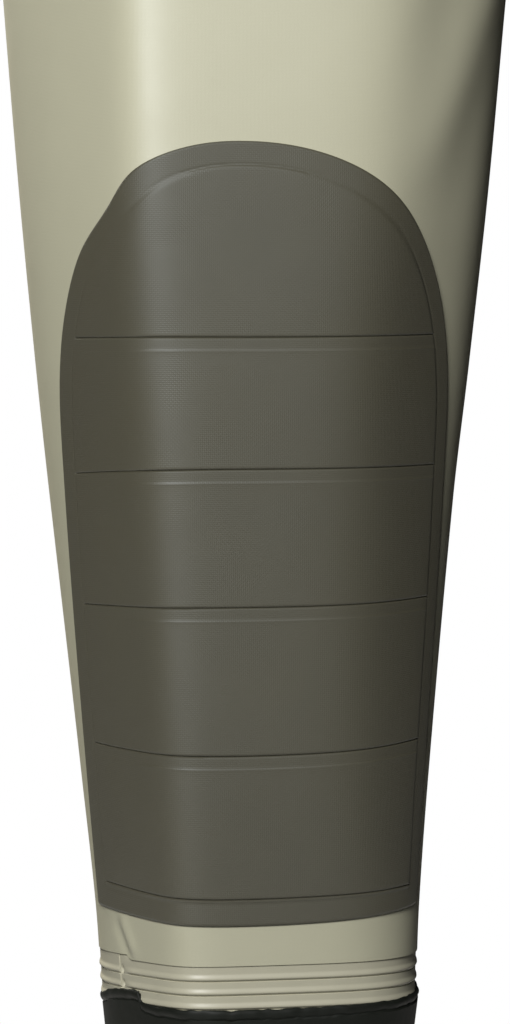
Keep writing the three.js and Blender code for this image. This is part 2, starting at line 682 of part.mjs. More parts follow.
const group = new THREE.Group();
addPiece(group, 'outsole', makeOutsole(), 'soleRubber');
addPiece(group, 'insole', makeInsole(), 'insoleFelt');
addPiece(group, 'boot_upper', makeUpper(), 'bootRubber');
addPiece(group, 'rand', makeRand(), 'bootRubber');
addPiece(group, 'shaft_binding', makeBinding(), 'bindingRubber');
addPiece(group, 'ribbed_band', makeRibbedBand(), 'bandRubber');
addPiece(group, 'leg', legShell(0, LEG_CLOTH), 'legCloth');
addPiece(group, 'top_hem', makeTopHem(), 'hemCloth');
addPiece(group, 'knee_patch', makeKneePatch(), 'padCloth');
makeKneePanels().forEach((panel, k) => addPiece(group, `knee_panel_${k + 1}`, panel, 'padFoam'));

export default group;
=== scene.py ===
"""Looks of a wading boot with its wader leg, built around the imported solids.

Sizes are in metres in the part's own frame: +Z is up, the toe points along -Y, and +X is the
wearer's inner side. The origin lies on the flat underside of the heel.
"""

import logging
import math
from dataclasses import dataclass, field, fields
from enum import Enum
from functools import cache

import bmesh
import bpy
import numpy as np
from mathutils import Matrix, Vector


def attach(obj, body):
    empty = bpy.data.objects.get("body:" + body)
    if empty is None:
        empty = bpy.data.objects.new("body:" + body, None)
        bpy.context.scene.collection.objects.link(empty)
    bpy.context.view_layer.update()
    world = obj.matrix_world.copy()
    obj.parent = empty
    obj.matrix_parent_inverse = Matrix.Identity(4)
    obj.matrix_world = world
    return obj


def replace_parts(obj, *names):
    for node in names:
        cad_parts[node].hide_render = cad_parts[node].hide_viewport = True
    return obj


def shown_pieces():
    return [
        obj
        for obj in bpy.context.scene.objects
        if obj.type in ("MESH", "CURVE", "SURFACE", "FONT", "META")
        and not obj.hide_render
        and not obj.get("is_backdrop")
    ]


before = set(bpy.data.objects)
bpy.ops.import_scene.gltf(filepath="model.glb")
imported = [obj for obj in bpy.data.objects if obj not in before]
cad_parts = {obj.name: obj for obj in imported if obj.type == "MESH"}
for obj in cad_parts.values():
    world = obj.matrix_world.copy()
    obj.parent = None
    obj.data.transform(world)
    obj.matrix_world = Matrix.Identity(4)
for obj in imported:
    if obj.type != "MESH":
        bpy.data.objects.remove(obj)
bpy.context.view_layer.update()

LOG = logging.getLogger("wading_boot")
MM = 0.001
TURN = 2 * math.pi
TAPE = "tape"  # the UV map that measures a piece in metres, round it and up it
Colour = tuple[float, float, float]
DUST: Colour = (0.21, 0.19, 0.15)


# Helpers for shapes

def mix(low: np.ndarray, high: np.ndarray, share: np.ndarray) -> np.ndarray:
    """Value a share of the way from low to high."""
    return low + (high - low) * share


def smooth_step(value: np.ndarray, low: float, high: float) -> np.ndarray:
    """Soft step from 0 at low to 1 at high."""
    t = np.clip((value - low) / (high - low), 0, 1)
    return t * t * (3 - 2 * t)


def hump(value: np.ndarray, place: float, width: float) -> np.ndarray:
    """Soft bell of height 1 at a place, a width wide on each side."""
    return np.exp(-(((value - place) / width) ** 2))


def follow(keys: np.ndarray, values: np.ndarray, at: np.ndarray) -> np.ndarray:
    """Smooth value of a table's column at places along its key column.

    Args:
        keys: The key of each row, rising.
        values: The column's value in each row.
        at: Places along the key.

    Returns:
        The values there, on a curve through all the rows.
    """
    at = np.asarray(at, float)
    k = np.searchsorted(keys[1:-1], at, side="left")
    before, after = np.maximum(k - 1, 0), np.minimum(k + 2, len(keys) - 1)
    span = keys[k + 1] - keys[k]
    leave = (values[k + 1] - values[before]) / (keys[k + 1] - keys[before]) * span
    arrive = (values[after] - values[k]) / (keys[after] - keys[k]) * span
    t = np.clip((at - keys[k]) / span, 0, 1)
    ease = t * t * (3 - 2 * t)
    return mix(values[k], values[k + 1], ease) + t * (1 - t) * ((1 - t) * leave - t * arrive)


def wander(turn: np.ndarray, waves: tuple[tuple[int, float, float], ...]) -> np.ndarray:
    """Irregular line that closes on itself.

    Args:
        turn: Shares of the way round.
        waves: Count round the piece, height and phase of each wave.

    Returns:
        The line's height at each turn.
    """
    return sum(height * np.sin(turn * TURN * count + phase) for count, height, phase in waves)


def paced(count: int, spots: tuple[tuple[float, float, float], ...]) -> np.ndarray:
    """Shares from 0 to 1 that lie closer together at chosen spots.

    Args:
        count: Number of steps.
        spots: Place, width and crowding of each spot.

    Returns:
        count + 1 rising shares.
    """
    fine = np.linspace(0, 1, 6001)
    density = 1 + sum(crowding * hump(fine, place, width) for place, width, crowding in spots)
    run = np.concatenate(([0.0], np.cumsum((density[1:] + density[:-1]) / 2)))
    return np.interp(np.linspace(0, 1, count + 1), run / run[-1], fine)


# Form of the leg and the boot

@dataclass(frozen=True)
class Section:
    """One level of the leg: where it is, its girth, its creases and its flats.

    rise is a share of the leg's height, growth a share of the girth it gains, and crease the
    sharpness of the folds. The others are the flats' distances from the axis, as shares of the
    radius of a round tube of the same girth.
    """

    rise: float
    growth: float
    crease: float
    front: float
    shoulder: float
    inner_front: float
    inner: float
    inner_back: float
    back: float
    outer_back: float
    outer: float
    outer_front: float


LEG_SECTIONS = (
    Section(0, 0, 12, 0.915, 1.12, 1.07, 0.985, 0.99, 1.06, 0.965, 0.93, 0.98),
    Section(0.08, 0.068, 14, 0.931, 1.089, 1.029, 0.967, 0.978, 1.044, 0.957, 0.927, 0.998),
    Section(0.2, 0.21, 15, 0.96, 1.074, 0.982, 0.955, 0.967, 1.026, 0.956, 0.941, 1.016),
    Section(0.45, 0.5, 15, 0.965, 1.083, 0.938, 0.963, 0.959, 0.991, 0.952, 0.978, 1.045),
    Section(0.57, 0.65, 15, 0.954, 1.089, 0.929, 0.981, 0.96, 0.974, 0.949, 0.984, 1.053),
    Section(0.74, 0.81, 16, 0.921, 1.101, 0.946, 1.013, 0.958, 0.955, 0.948, 1.002, 1.05),
    Section(1, 1, 16, 0.871, 1.117, 0.954, 1.055, 0.968, 0.942, 0.957, 1.035, 1.016),
)

# Degrees from the front to the inner side that each flat faces.
FLAT_TURNS = {
    "front": 16, "shoulder": 36, "inner_front": 56, "inner": 93, "inner_back": 128,
    "back": 176, "outer_back": -137, "outer": -89, "outer_front": -46,
}


@dataclass(frozen=True)
class LegForm:
    """Form of the shaft and the leg, as distances from a leaning axis."""

    boot_height: float = 0.320
    leg_rise: float = 0.460
    boot_girth: float = 0.433
    top_girth: float = 0.656
    leg_forward: float = 0.034
    ankle_height: float = 0.150
    ankle_width: float = 0.094
    ankle_depth: float = 0.122
    ankle_forward: float = 0.031

    @property
    def top(self) -> float:
        """Height of the leg's top edge."""
        return self.boot_height + self.leg_rise

    def round_radius(self, height: np.ndarray) -> np.ndarray:
        """Radius of a round tube that has the leg's girth at a height."""
        rise = (np.asarray(height, float) - self.boot_height) / self.leg_rise
        keys = np.array([row.rise for row in LEG_SECTIONS])
        growth = follow(keys, np.array([row.growth for row in LEG_SECTIONS]), rise)
        return mix(self.boot_girth, self.top_girth, growth) / TURN

    def leg_radius(self, turn: np.ndarray, height: np.ndarray, inset: np.ndarray) -> np.ndarray:
        """Distance of the leg's face from its axis.

        Args:
            turn: Shares of the way round from the front.
            height: Heights above the ground.
            inset: Depths below the face, negative outside it.

        Returns:
            The distances.
        """
        rise = (height - self.boot_height) / self.leg_rise
        keys = np.array([row.rise for row in LEG_SECTIONS])
        table = {}
        for column in fields(Section):
            values = np.array([getattr(row, column.name) for row in LEG_SECTIONS])
            table[column.name] = follow(keys, values, rise)
        round_tube = mix(self.boot_girth, self.top_girth, table["growth"]) / TURN
        total = np.zeros(np.broadcast(turn, height, inset).shape)
        for side, degrees in FLAT_TURNS.items():
            facing = np.maximum(np.cos(turn * TURN - math.radians(degrees)), 0)
            total = total + (facing / (table[side] * round_tube - inset)) ** table["crease"]
        return total ** (-1 / table["crease"])

    def ankle_radius(self, turn: np.ndarray, inset: np.ndarray) -> np.ndarray:
        """Distance of the oval ankle's face from its axis."""
        across = np.sin(turn * TURN) / (self.ankle_width / 2 - inset)
        along = np.cos(turn * TURN) / (self.ankle_depth / 2 - inset)
        return 1 / np.hypot(across, along)

    def point(self, turn: np.ndarray, height: np.ndarray, inset: np.ndarray = 0.0) -> np.ndarray:
        """Points of the shaft and leg.

        Args:
            turn: Shares of the way round from the front.
            height: Heights above the ground.
            inset: Depths below the face, negative outside it.

        Returns:
            An array of points, with x, y and z last.
        """
        turn, height, inset = np.broadcast_arrays(*(np.asarray(a, float) for a in (turn, height, inset)))
        up = np.clip((height - self.ankle_height) / (self.boot_height - self.ankle_height), 0, 1)
        above = self.leg_radius(turn, np.maximum(height, self.boot_height), inset)
        radius = mix(self.ankle_radius(turn, inset), above, up)
        forward = mix(self.ankle_forward, self.leg_forward, up)
        x = radius * np.sin(turn * TURN)
        y = -forward - radius * np.cos(turn * TURN)
        return np.stack([x, y, height], axis=-1)

    def turn_at_arc(self, height: np.ndarray, arc: np.ndarray) -> np.ndarray:
        """Shares of the way round that a level tape of a given length reaches from the front.

        Args:
            height: Level of each tape, a column.
            arc: Tape lengths, one row for each level, negative towards the outer side.

        Returns:
            The turns, in the shape of arc.
        """
        fine = np.linspace(-0.4, 0.4, 961)
        reached = np.empty_like(arc)
        for k, level in enumerate(np.ravel(height)):
            line = self.point(fine, level)
            run = np.concatenate(([0.0], np.cumsum(np.linalg.norm(np.diff(line, axis=0), axis=1))))
            reached[k] = np.interp(arc[k], run - run[len(fine) // 2], fine)
        return reached


@dataclass(frozen=True)
class PlanRow:
    """The sole's width at a share of its length from the back, as shares of half the ball width."""

    along: float
    inner: float
    outer: float


SOLE_PLAN = (
    PlanRow(0.025, 0.33, 0.33),
    PlanRow(0.09, 0.585, 0.6),
    PlanRow(0.19, 0.655, 0.69),
    PlanRow(0.33, 0.61, 0.715),
    PlanRow(0.47, 0.6, 0.79),
    PlanRow(0.6, 0.79, 0.93),
    PlanRow(0.71, 0.965, 1.03),
    PlanRow(0.81, 1.0, 0.95),
    PlanRow(0.9, 0.885, 0.69),
    PlanRow(0.965, 0.62, 0.34),
)


@dataclass(frozen=True)
class SeatRow:
    """Side view of the seat: shares of the heel's extra height and of the toe spring."""

    along: float
    drop: float
    spring: float


SEAT = (
    SeatRow(0, 1.03, 0),
    SeatRow(0.12, 1, 0),
    SeatRow(0.27, 0.9, 0),
    SeatRow(0.42, 0.52, 0),
    SeatRow(0.56, 0.14, 0),
    SeatRow(0.68, 0, 0),
    SeatRow(0.78, 0, 0.06),
    SeatRow(0.88, 0, 0.33),
    SeatRow(0.95, 0, 0.67),
    SeatRow(1, 0, 1),
)


@dataclass(frozen=True)
class FootForm:
    """Form of the foot: the sole's plan and side view, and ribs that bend up to the ankle."""

    leg: LegForm
    sole_length: float = 0.308
    sole_back: float = 0.038
    ball_width: float = 0.112
    heel_height: float = 0.032
    forefoot_height: float = 0.019
    arch_height: float = 0.010
    toe_spring: float = 0.013
    heel_strike: float = 0.003
    heel_block: float = 0.076
    forefoot_from: float = 0.5
    forefoot_to: float = 0.78
    toe_tip_side: float = 0.17
    sole_margin: float = 0.005
    seat_gap: float = 0.0003
    toe_rise: float = 0.049
    heel_rise: float = 0.040
    instep_drop: float = 0.062
    heel_drop: float = 0.040
    toe_lean: float = 0.010
    heel_lean: float = 0.009
    plan_line: np.ndarray = field(init=False, repr=False)

    def __post_init__(self) -> None:
        """Works out the plan's outline once."""
        object.__setattr__(self, "plan_line", self._plan_outline(4000))

    def y_at(self, along: np.ndarray) -> np.ndarray:
        """Place along Y of a share of the sole's length from the back."""
        return self.sole_back - np.asarray(along) * self.sole_length

    def _plan_outline(self, count: int) -> np.ndarray:
        """Evenly spaced points of the plan from the toe tip round the inner side.

        Args:
            count: Number of steps round it.

        Returns:
            count + 1 rows of x and y, the last like the first.
        """
        half = self.ball_width / 2
        inner = [(row.inner * half, self.y_at(row.along)) for row in reversed(SOLE_PLAN)]
        outer = [(-row.outer * half, self.y_at(row.along)) for row in SOLE_PLAN]
        tip = (self.toe_tip_side * half, self.y_at(1))
        knots = np.array([tip, *inner, (0.0, self.sole_back), *outer])
        share = np.linspace(0, 1, 80, endpoint=False)[:, None]
        line = []
        for k in range(len(knots)):
            a, b, c, d = (knots[(k + step) % len(knots)] for step in (-1, 0, 1, 2))
            gap = [math.sqrt(np.linalg.norm(q - p)) for p, q in ((a, b), (b, c), (c, d))]
            leave = ((b - a) / gap[0] - (c - a) / (gap[0] + gap[1]) + (c - b) / gap[1]) * gap[1]
            arrive = ((c - b) / gap[1] - (d - b) / (gap[1] + gap[2]) + (d - c) / gap[2]) * gap[1]
            bend = share * (1 - share)
            ease = share * share * (3 - 2 * share)
            line.append(mix(b, c, ease) + bend * ((1 - share) * leave - share * arrive))
        line = np.concatenate([*line, line[0][:1]])
        run = np.concatenate(([0.0], np.cumsum(np.linalg.norm(np.diff(line, axis=0), axis=1))))
        at = np.linspace(0, run[-1], count + 1)
        return np.stack([np.interp(at, run, line[:, axis]) for axis in (0, 1)], axis=-1)

    def plan(self, turn: np.ndarray, inset: np.ndarray = 0.0) -> np.ndarray:
        """Points of the sole's plan.

        Args:
            turn: Shares of the way round from the toe tip over the inner side.
            inset: Distances in from the edge.

        Returns:
            An array with x and y last.
        """
        count = len(self.plan_line) - 1
        at = np.mod(turn, 1) * count
        ring = np.arange(-6, count + 7)
        line = self.plan_line[np.mod(ring, count)]
        edge = [np.interp(at, ring, line[:, axis]) for axis in (0, 1)]
        ahead = [np.interp(at + 5, ring, line[:, axis]) for axis in (0, 1)]
        behind = [np.interp(at - 5, ring, line[:, axis]) for axis in (0, 1)]
        heading = np.stack([p - q for p, q in zip(ahead, behind)], axis=-1)
        heading = heading / np.linalg.norm(heading, axis=-1, keepdims=True)
        inward = np.stack([-heading[..., 1], heading[..., 0]], axis=-1)
        return np.stack(edge, axis=-1) + inward * np.asarray(inset)[..., None]

    def seat(self, y: np.ndarray) -> np.ndarray:
        """Height of the sole's seat at a place along Y."""
        along = np.clip((self.sole_back - y) / self.sole_length, 0, 1)
        keys = np.array([row.along for row in SEAT])
        drop = follow(keys, np.array([row.drop for row in SEAT]), along)
        spring = follow(keys, np.array([row.spring for row in SEAT]), along)
        return mix(self.forefoot_height, self.heel_height, drop) + self.toe_spring * spring

    def underside(self, y: np.ndarray) -> np.ndarray:
        """Height of the tread at a place along Y."""
        front = self.heel_block / self.sole_length
        along = (self.sole_back - y) / self.sole_length
        line = (
            (-0.05, self.heel_strike), (0, self.heel_strike), (0.04, 0), (front, 0),
            (front + 0.012, self.arch_height),
            (mix(front, self.forefoot_from, 0.5), 0.85 * self.arch_height),
            (mix(front, self.forefoot_from, 0.8), 0.3 * self.arch_height),
            (self.forefoot_from, 0), (self.forefoot_to, 0), (0.86, 0.13 * self.toe_spring),
            (0.93, 0.45 * self.toe_spring), (1, self.toe_spring), (1.05, self.toe_spring),
        )
        return np.interp(along, [place for place, _ in line], [lift for _, lift in line])

    def _face(self, turn: np.ndarray, rise: np.ndarray) -> np.ndarray:
        """Points of the foot's face on ribs that rise from the sole and bend up to the ankle."""
        turn, rise = np.broadcast_arrays(np.asarray(turn, float), np.asarray(rise, float))
        toeward = (1 + np.cos(turn * TURN)) / 2
        plan = self.plan(turn, np.full(turn.shape, self.sole_margin))
        foot = np.concatenate([plan, (self.seat(plan[..., 1]) + self.seat_gap)[..., None]], axis=-1)
        ankle = self.leg.point(turn, self.leg.ankle_height)
        lean = self.plan(turn, self.sole_margin - mix(self.heel_lean, self.toe_lean, toeward))
        low_height = foot[..., 2] + mix(self.heel_rise, self.toe_rise, toeward)
        low = np.concatenate([lean, low_height[..., None]], axis=-1)
        high = ankle.copy()
        high[..., 2] -= mix(self.heel_drop, self.instep_drop, toeward**2)
        t = rise[..., None]
        lower = (1 - t) ** 3 * foot + 3 * t * (1 - t) ** 2 * low
        return lower + 3 * t * t * (1 - t) * high + t**3 * ankle

    def point(self, turn: np.ndarray, rise: np.ndarray, inset: np.ndarray = 0.0) -> np.ndarray:
        """Points of the foot.

        Args:
            turn: Shares of the way round from the toe tip over the inner side.
            rise: Shares of the way up from the sole to the ankle.
            inset: Depths below the face, negative outside it.

        Returns:
            An array of points, with x, y and z last.
        """
        nudge = 0.002
        around = self._face(turn + nudge, rise) - self._face(turn - nudge, rise)
        upward = self._face(turn, rise + nudge) - self._face(turn, rise - nudge)
        outward = np.cross(around, upward)
        outward = outward / np.linalg.norm(outward, axis=-1, keepdims=True)
        return self._face(turn, rise) - outward * np.asarray(inset, float)[..., None]


class FoldKind(Enum):
    """How a fold's surface moves across it."""

    TROUGH = "trough"
    RIDGE = "ridge"
    STEP = "step"


@dataclass(frozen=True)
class Fold:
    """A soft crease, placed by its middle on the shaft or leg.

    turn is in degrees from the front to the inner side, and tilt is the crease's lean from
    level, in degrees, rising towards the inner side. reach is half its length.
    """

    turn: float
    height: float
    tilt: float
    reach: float
    width: float
    depth: float
    kind: FoldKind = FoldKind.TROUGH

    def lift(self, turn: np.ndarray, height: np.ndarray, radius: np.ndarray) -> np.ndarray:
        """How far the fold moves the face outward.

        Args:
            turn: Shares of the way round from the front.
            height: Heights above the ground.
            radius: Distance from the axis, which turns degrees into lengths.

        Returns:
            The distances, negative inward.
        """
        away = np.mod(turn - self.turn / 360 + 0.5, 1) - 0.5
        round_it, up_it = away * TURN * radius, height - self.height
        lean = math.radians(self.tilt)
        along = round_it * math.cos(lean) + up_it * math.sin(lean)
        across = (-round_it * math.sin(lean) + up_it * math.cos(lean)) / self.width
        fade = np.exp(-((along / self.reach) ** 4))
        if self.kind is FoldKind.STEP:
            return self.depth * fade * across * np.exp(0.5 - across**2 / 2)
        sign = 1 if self.kind is FoldKind.RIDGE else -1
        return sign * self.depth * fade * np.exp(-(across**2))


# Helpers for meshes

def lay_grid(name: str, points: np.ndarray, tape: np.ndarray) -> bpy.types.Object:
    """A sheet of quads whose corners lie where the rows and columns of a lattice say.

    Where the lattice's first and last rows or columns meet, the sheet's corners lie on the same points.

    Args:
        name: Name of the piece.
        points: Rows, columns and x, y, z.
        tape: Rows, columns and the place on the tape map, in metres.

    Returns:
        The new object.
    """
    rows, columns = points.shape[0] - 1, points.shape[1] - 1
    body = bmesh.new()
    body.loops.layers.uv.new(TAPE)
    bmesh.ops.create_grid(body, x_segments=columns, y_segments=rows, size=0.5, calc_uvs=True)
    mesh = bpy.data.meshes.new(name)
    body.to_mesh(mesh)
    body.free()

    def looked_up(table: np.ndarray, share: np.ndarray) -> np.ndarray:
        """Values of a lattice table at each corner of the unit sheet, in one flat row."""
        column, row = (np.rint(share * (columns, rows)).astype(int)).T
        return table[row, column].astype(np.float32).ravel()

    place = np.empty(len(mesh.vertices) * 3, np.float32)
    mesh.vertices.foreach_get("co", place)
    mesh.vertices.foreach_set("co", looked_up(points, place.reshape(-1, 3)[:, :2] + 0.5))
    layer = mesh.uv_layers[TAPE].data
    share = np.empty(len(layer) * 2, np.float32)
    layer.foreach_get("uv", share)
    layer.foreach_set("uv", looked_up(tape, share.reshape(-1, 2)))
    mesh.update()
    piece = bpy.data.objects.new(name, mesh)
    bpy.context.scene.collection.objects.link(piece)
    return piece


def close_shell(piece: bpy.types.Object, join: float = 2e-6) -> bpy.types.Object:
    """Joins a shell's seams and turns its faces outwards."""
    body = bmesh.new()
    body.from_mesh(piece.data)
    bmesh.ops.remove_doubles(body, verts=body.verts, dist=join)
    bmesh.ops.recalc_face_normals(body, faces=body.faces)
    body.to_mesh(piece.data)
    body.free()
    return piece


def shade(piece: bpy.types.Object, sharp: float = 40.0) -> bpy.types.Object:
    """Smooth shading, with edges sharper than an angle in degrees kept crisp."""
    for face in piece.data.polygons:
        face.use_smooth = True
    piece.data.set_sharp_from_angle(angle=math.radians(sharp))
    return piece


def arc_tape(points: np.ndarray) -> np.ndarray:
    """Tape map of a lattice: metres round it from its middle column, and metres up it.

    Args:
        points: Rows, columns and x, y, z.

    Returns:
        Rows, columns and the two lengths.
    """
    step = np.linalg.norm(np.diff(points, axis=1), axis=2)
    round_it = np.concatenate([np.zeros((len(points), 1)), np.cumsum(step, axis=1)], axis=1)
    round_it -= round_it[:, points.shape[1] // 2][:, None]
    climb = np.linalg.norm(np.diff(points, axis=0), axis=2).mean(axis=1)
    up_it = np.concatenate([[0.0], np.cumsum(climb)])[:, None] * np.ones((1, points.shape[1]))
    return np.stack([round_it, up_it], axis=-1)


def ring_wall(name: str, points: np.ndarray) -> bpy.types.Object:
    """A closed wall right round the leg from a lattice whose rows run round its section."""
    return shade(close_shell(lay_grid(name, points, arc_tape(points))))


# Helpers for materials

class Graph:
    """Short calls that build one node tree."""

    def __init__(self, tree: bpy.types.NodeTree) -> None:
        """Keeps the tree."""
        self.tree = tree

    def add(self, kind: str, inputs: dict | None = None, **settings) -> bpy.types.Node:
        """Adds a node.

        Args:
            kind: The node's type, without the words ShaderNode.
            inputs: Socket names or numbers, each with a value or the socket that feeds it.
            **settings: The node's own settings.

        Returns:
            The node.
        """
        node = self.tree.nodes.new("ShaderNode" + kind)
        for key, value in settings.items():
            setattr(node, key, value)
        self.feed(node, inputs or {})
        return node

    def feed(self, node: bpy.types.Node, inputs: dict) -> None:
        """Gives a node's inputs their values, or the sockets that feed them."""
        for key, value in inputs.items():
            if isinstance(value, bpy.types.NodeSocket):
                self.tree.links.new(value, node.inputs[key])
            else:
                node.inputs[key].default_value = value

    def math(self, operation: str, *values) -> bpy.types.NodeSocket:
        """Result of a Math node."""
        node = self.add("Math", dict(enumerate(values)), operation=operation)
        return node.outputs[0]

    def ramp(self, value: bpy.types.NodeSocket, low: float, high: float, to_low: float = 0.0,
             to_high: float = 1.0) -> bpy.types.NodeSocket:
        """Result of a Map Range node that stays within its ends."""
        inputs = {"Value": value, "From Min": low, "From Max": high, "To Min": to_low, "To Max": to_high}
        return self.add("MapRange", inputs, clamp=True).outputs[0]

    def blend(self, share, first, second) -> bpy.types.NodeSocket:
        """Colour a share of the way from first to second."""
        node = self.add("Mix", {0: share, 6: first, 7: second}, data_type="RGBA")
        return node.outputs[2]

    def group(self, tree: bpy.types.NodeTree, inputs: dict) -> bpy.types.Node:
        """Places a node group."""
        node = self.add("Group", node_tree=tree)
        self.feed(node, inputs)
        return node


def rgba(colour: Colour) -> tuple[float, float, float, float]:
    """A colour with full alpha."""
    return (*colour, 1.0)


class Effect:
    """Shader node groups that several finishes share, each built once."""

    @staticmethod
    def _start(name: str, inputs: dict[str, float | None], *outputs: str) -> tuple:
        """Starts a group.

        Args:
            name: Name of the group.
            inputs: Each input's value, or None for a vector.
            *outputs: Name of each output, which is a number.

        Returns:
            A graph on the group's tree, its inputs and its output node.
        """
        tree = bpy.data.node_groups.new(name, "ShaderNodeTree")
        for key, value in inputs.items():
            kind = "NodeSocketVector" if value is None else "NodeSocketFloat"
            socket = tree.interface.new_socket(key, in_out="INPUT", socket_type=kind)
            if value is not None:
                socket.default_value = value
        for key in outputs:
            tree.interface.new_socket(key, in_out="OUTPUT", socket_type="NodeSocketFloat")
        source = tree.nodes.new("NodeGroupInput")
        return Graph(tree), source.outputs, tree.nodes.new("NodeGroupOutput")

    @staticmethod
    @cache
    def weave() -> bpy.types.NodeTree:
        """Threads over and under each other: height of the cloth, and a mask of painted shade in the
        spaces between threads.
        """
        settings = {"Place": None, "Pitch": 0.001, "Unevenness": 0.3}
        g, given, target = Effect._start("woven_threads", settings, "Height", "GapShade")
        drift = g.add("TexNoise", {"Vector": given["Place"], "Scale": 60.0, "Detail": 2.0})
        sway = g.math("MULTIPLY", g.math("SUBTRACT", drift.outputs[0], 0.5), given["Unevenness"])
        split = g.add("SeparateXYZ", {0: given["Place"]})
        across = g.math("ADD", g.math("DIVIDE", split.outputs[0], given["Pitch"]), sway)
        along = g.math("ADD", g.math("DIVIDE", split.outputs[1], given["Pitch"]), sway)
        warp = g.math("ABSOLUTE", g.math("SINE", g.math("MULTIPLY", across, math.pi)))
        weft = g.math("ABSOLUTE", g.math("SINE", g.math("MULTIPLY", along, math.pi)))
        cell = g.math("ADD", g.math("FLOOR", across), g.math("FLOOR", along))
        over = g.math("FLOORED_MODULO", cell, 2.0)
        high = g.add("Mix", {0: over, 2: warp, 3: weft}, data_type="FLOAT").outputs[0]
        low = g.math("MULTIPLY", g.math("MINIMUM", warp, weft), 0.5)
        height = g.math("ADD", g.math("MULTIPLY", high, 0.6), low)
        # Painted shade: 1 in the spaces between threads, where the cloth colour is darkened.
        gap_shade = g.ramp(g.math("MINIMUM", warp, weft), 0.0, 0.45, 1.0, 0.0)
        g.feed(target, {"Height": height, "GapShade": gap_shade})
        return g.tree

    @staticmethod
    @cache
    def drift() -> bpy.types.NodeTree:
        """Slow change of tone over a surface, from 0 to 1."""
        settings = {"Place": None, "Scale": 8.0}
        g, given, target = Effect._start("slow_drift", settings, "Tone")
        broad = g.add("TexNoise", {"Vector": given["Place"], "Scale": given["Scale"], "Detail": 3.0})
        finer = g.math("MULTIPLY", given["Scale"], 7.3)
        small = g.add("TexNoise", {"Vector": given["Place"], "Scale": finer, "Detail": 2.0})
        finer_part = g.math("MULTIPLY", small.outputs[0], 0.3)
        both = g.math("ADD", g.math("MULTIPLY", broad.outputs[0], 0.7), finer_part)
        g.feed(target, {"Tone": g.ramp(both, 0.3, 0.7)})
        return g.tree

    @staticmethod
    @cache
    def grain() -> bpy.types.NodeTree:
        """Fine pebbled skin of rubber or film: its height."""
        settings = {"Place": None, "Scale": 900.0}
        g, given, target = Effect._start("fine_grain", settings, "Height")
        pebble = g.add("TexVoronoi", {"Vector": given["Place"], "Scale": given["Scale"]})
        cloud = g.add("TexNoise", {"Vector": given["Place"], "Scale": given["Scale"], "Detail": 3.0})
        soft = g.ramp(pebble.outputs[0], 0.0, 0.8, 1.0, 0.0)
        height = g.math("ADD", g.math("MULTIPLY", soft, 0.5), g.math("MULTIPLY", cloud.outputs[0], 0.5))
        g.feed(target, {"Height": height})
        return g.tree

    @staticmethod
    @cache
    def dust() -> bpy.types.NodeTree:
        """Dust that settles on what faces up and gathers in patches: its mask."""
        settings = {"Place": None, "Amount": 0.3}
        g, given, target = Effect._start("settled_dust", settings, "Mask")
        facing = g.add("SeparateXYZ", {0: g.add("NewGeometry").outputs["Normal"]})
        upward = g.ramp(facing.outputs[2], -0.1, 0.95)
        patches = g.add("TexNoise", {"Vector": given["Place"], "Scale": 34.0, "Detail": 5.0})
        specks = g.add("TexNoise", {"Vector": given["Place"], "Scale": 420.0, "Detail": 2.0})
        speckled = g.ramp(specks.outputs[0], 0.35, 0.6)
        cover = g.math("MULTIPLY", g.ramp(patches.outputs[0], 0.38, 0.66), speckled)
        settled = g.math("ADD", g.math("MULTIPLY", upward, 0.75), 0.25)
        mask = g.math("MULTIPLY", g.math("MULTIPLY", cover, settled), given["Amount"])
        g.feed(target, {"Mask": mask})
        return g.tree


def new_material(name: str) -> tuple[bpy.types.Material, Graph, bpy.types.Node]:
    """A material with a Principled shader.

    Args:
        name: Name of the material.

    Returns:
        The material, a graph on its tree and the shader node.
    """
    material = bpy.data.materials.new(name)
    material.use_nodes = True
    material.node_tree.nodes.clear()
    graph = Graph(material.node_tree)
    shader = graph.add("BsdfPrincipled")
    graph.add("OutputMaterial", {"Surface": shader.outputs[0]})
    return material, graph, shader


def dress(piece: bpy.types.Object, material: bpy.types.Material) -> bpy.types.Object:
    """Gives a piece its material and its body."""
    piece.data.materials.clear()
    piece.data.materials.append(material)
    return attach(piece, "root")


@dataclass(frozen=True)
class ClothFinish:
    """Woven cloth, coated or bare. Depths are in metres."""

    name: str
    colour: Colour
    shade_colour: Colour
    pitch: float
    depth: float
    roughness: float
    sheen: float
    # Strength of the painted shade in the spaces between threads.
    gap_shade_strength: float
    ripple: float = 0.0
    gloss: float = 0.35
    gloss_tint: Colour = (1.0, 1.0, 1.0)

    def material(self) -> bpy.types.Material:
        """Builds the cloth's material on its tape map."""
        material, g, shader = new_material(self.name)
        tape = g.add("UVMap", uv_map=TAPE).outputs[0]
        place = g.add("TexCoord").outputs["Object"]
        weave = g.group(Effect.weave(), {"Place": tape, "Pitch": self.pitch, "Unevenness": 0.7})
        tone = g.group(Effect.drift(), {"Place": place, "Scale": 9.0}).outputs["Tone"]
        colour = g.blend(tone, rgba(self.colour), rgba(self.shade_colour))
        # Painted shade: the spaces between threads are darkened towards this colour.
        dark = tuple(0.55 * part for part in self.shade_colour)
        gap_shade = g.math("MULTIPLY", weave.outputs["GapShade"], self.gap_shade_strength)
        colour = g.blend(gap_shade, colour, rgba(dark))
        rough = g.ramp(tone, 0.0, 1.0, self.roughness - 0.05, self.roughness + 0.05)
        wave = g.add("TexNoise", {"Vector": place, "Scale": 14.0, "Detail": 2.0})
        broad = g.add("Bump", {"Height": wave.outputs[0], "Distance": self.ripple, "Strength": 1.0})
        fine = g.add("Bump", {"Height": weave.outputs["Height"], "Distance": self.depth, "Strength": 1.0,
                              "Normal": broad.outputs[0]})
        g.feed(shader, {
            "Base Color": colour, "Roughness": rough, "Normal": fine.outputs[0],
            "Sheen Weight": self.sheen, "Sheen Roughness": 0.45,
            "Specular IOR Level": self.gloss, "Specular Tint": rgba(self.gloss_tint),
        })
        return material


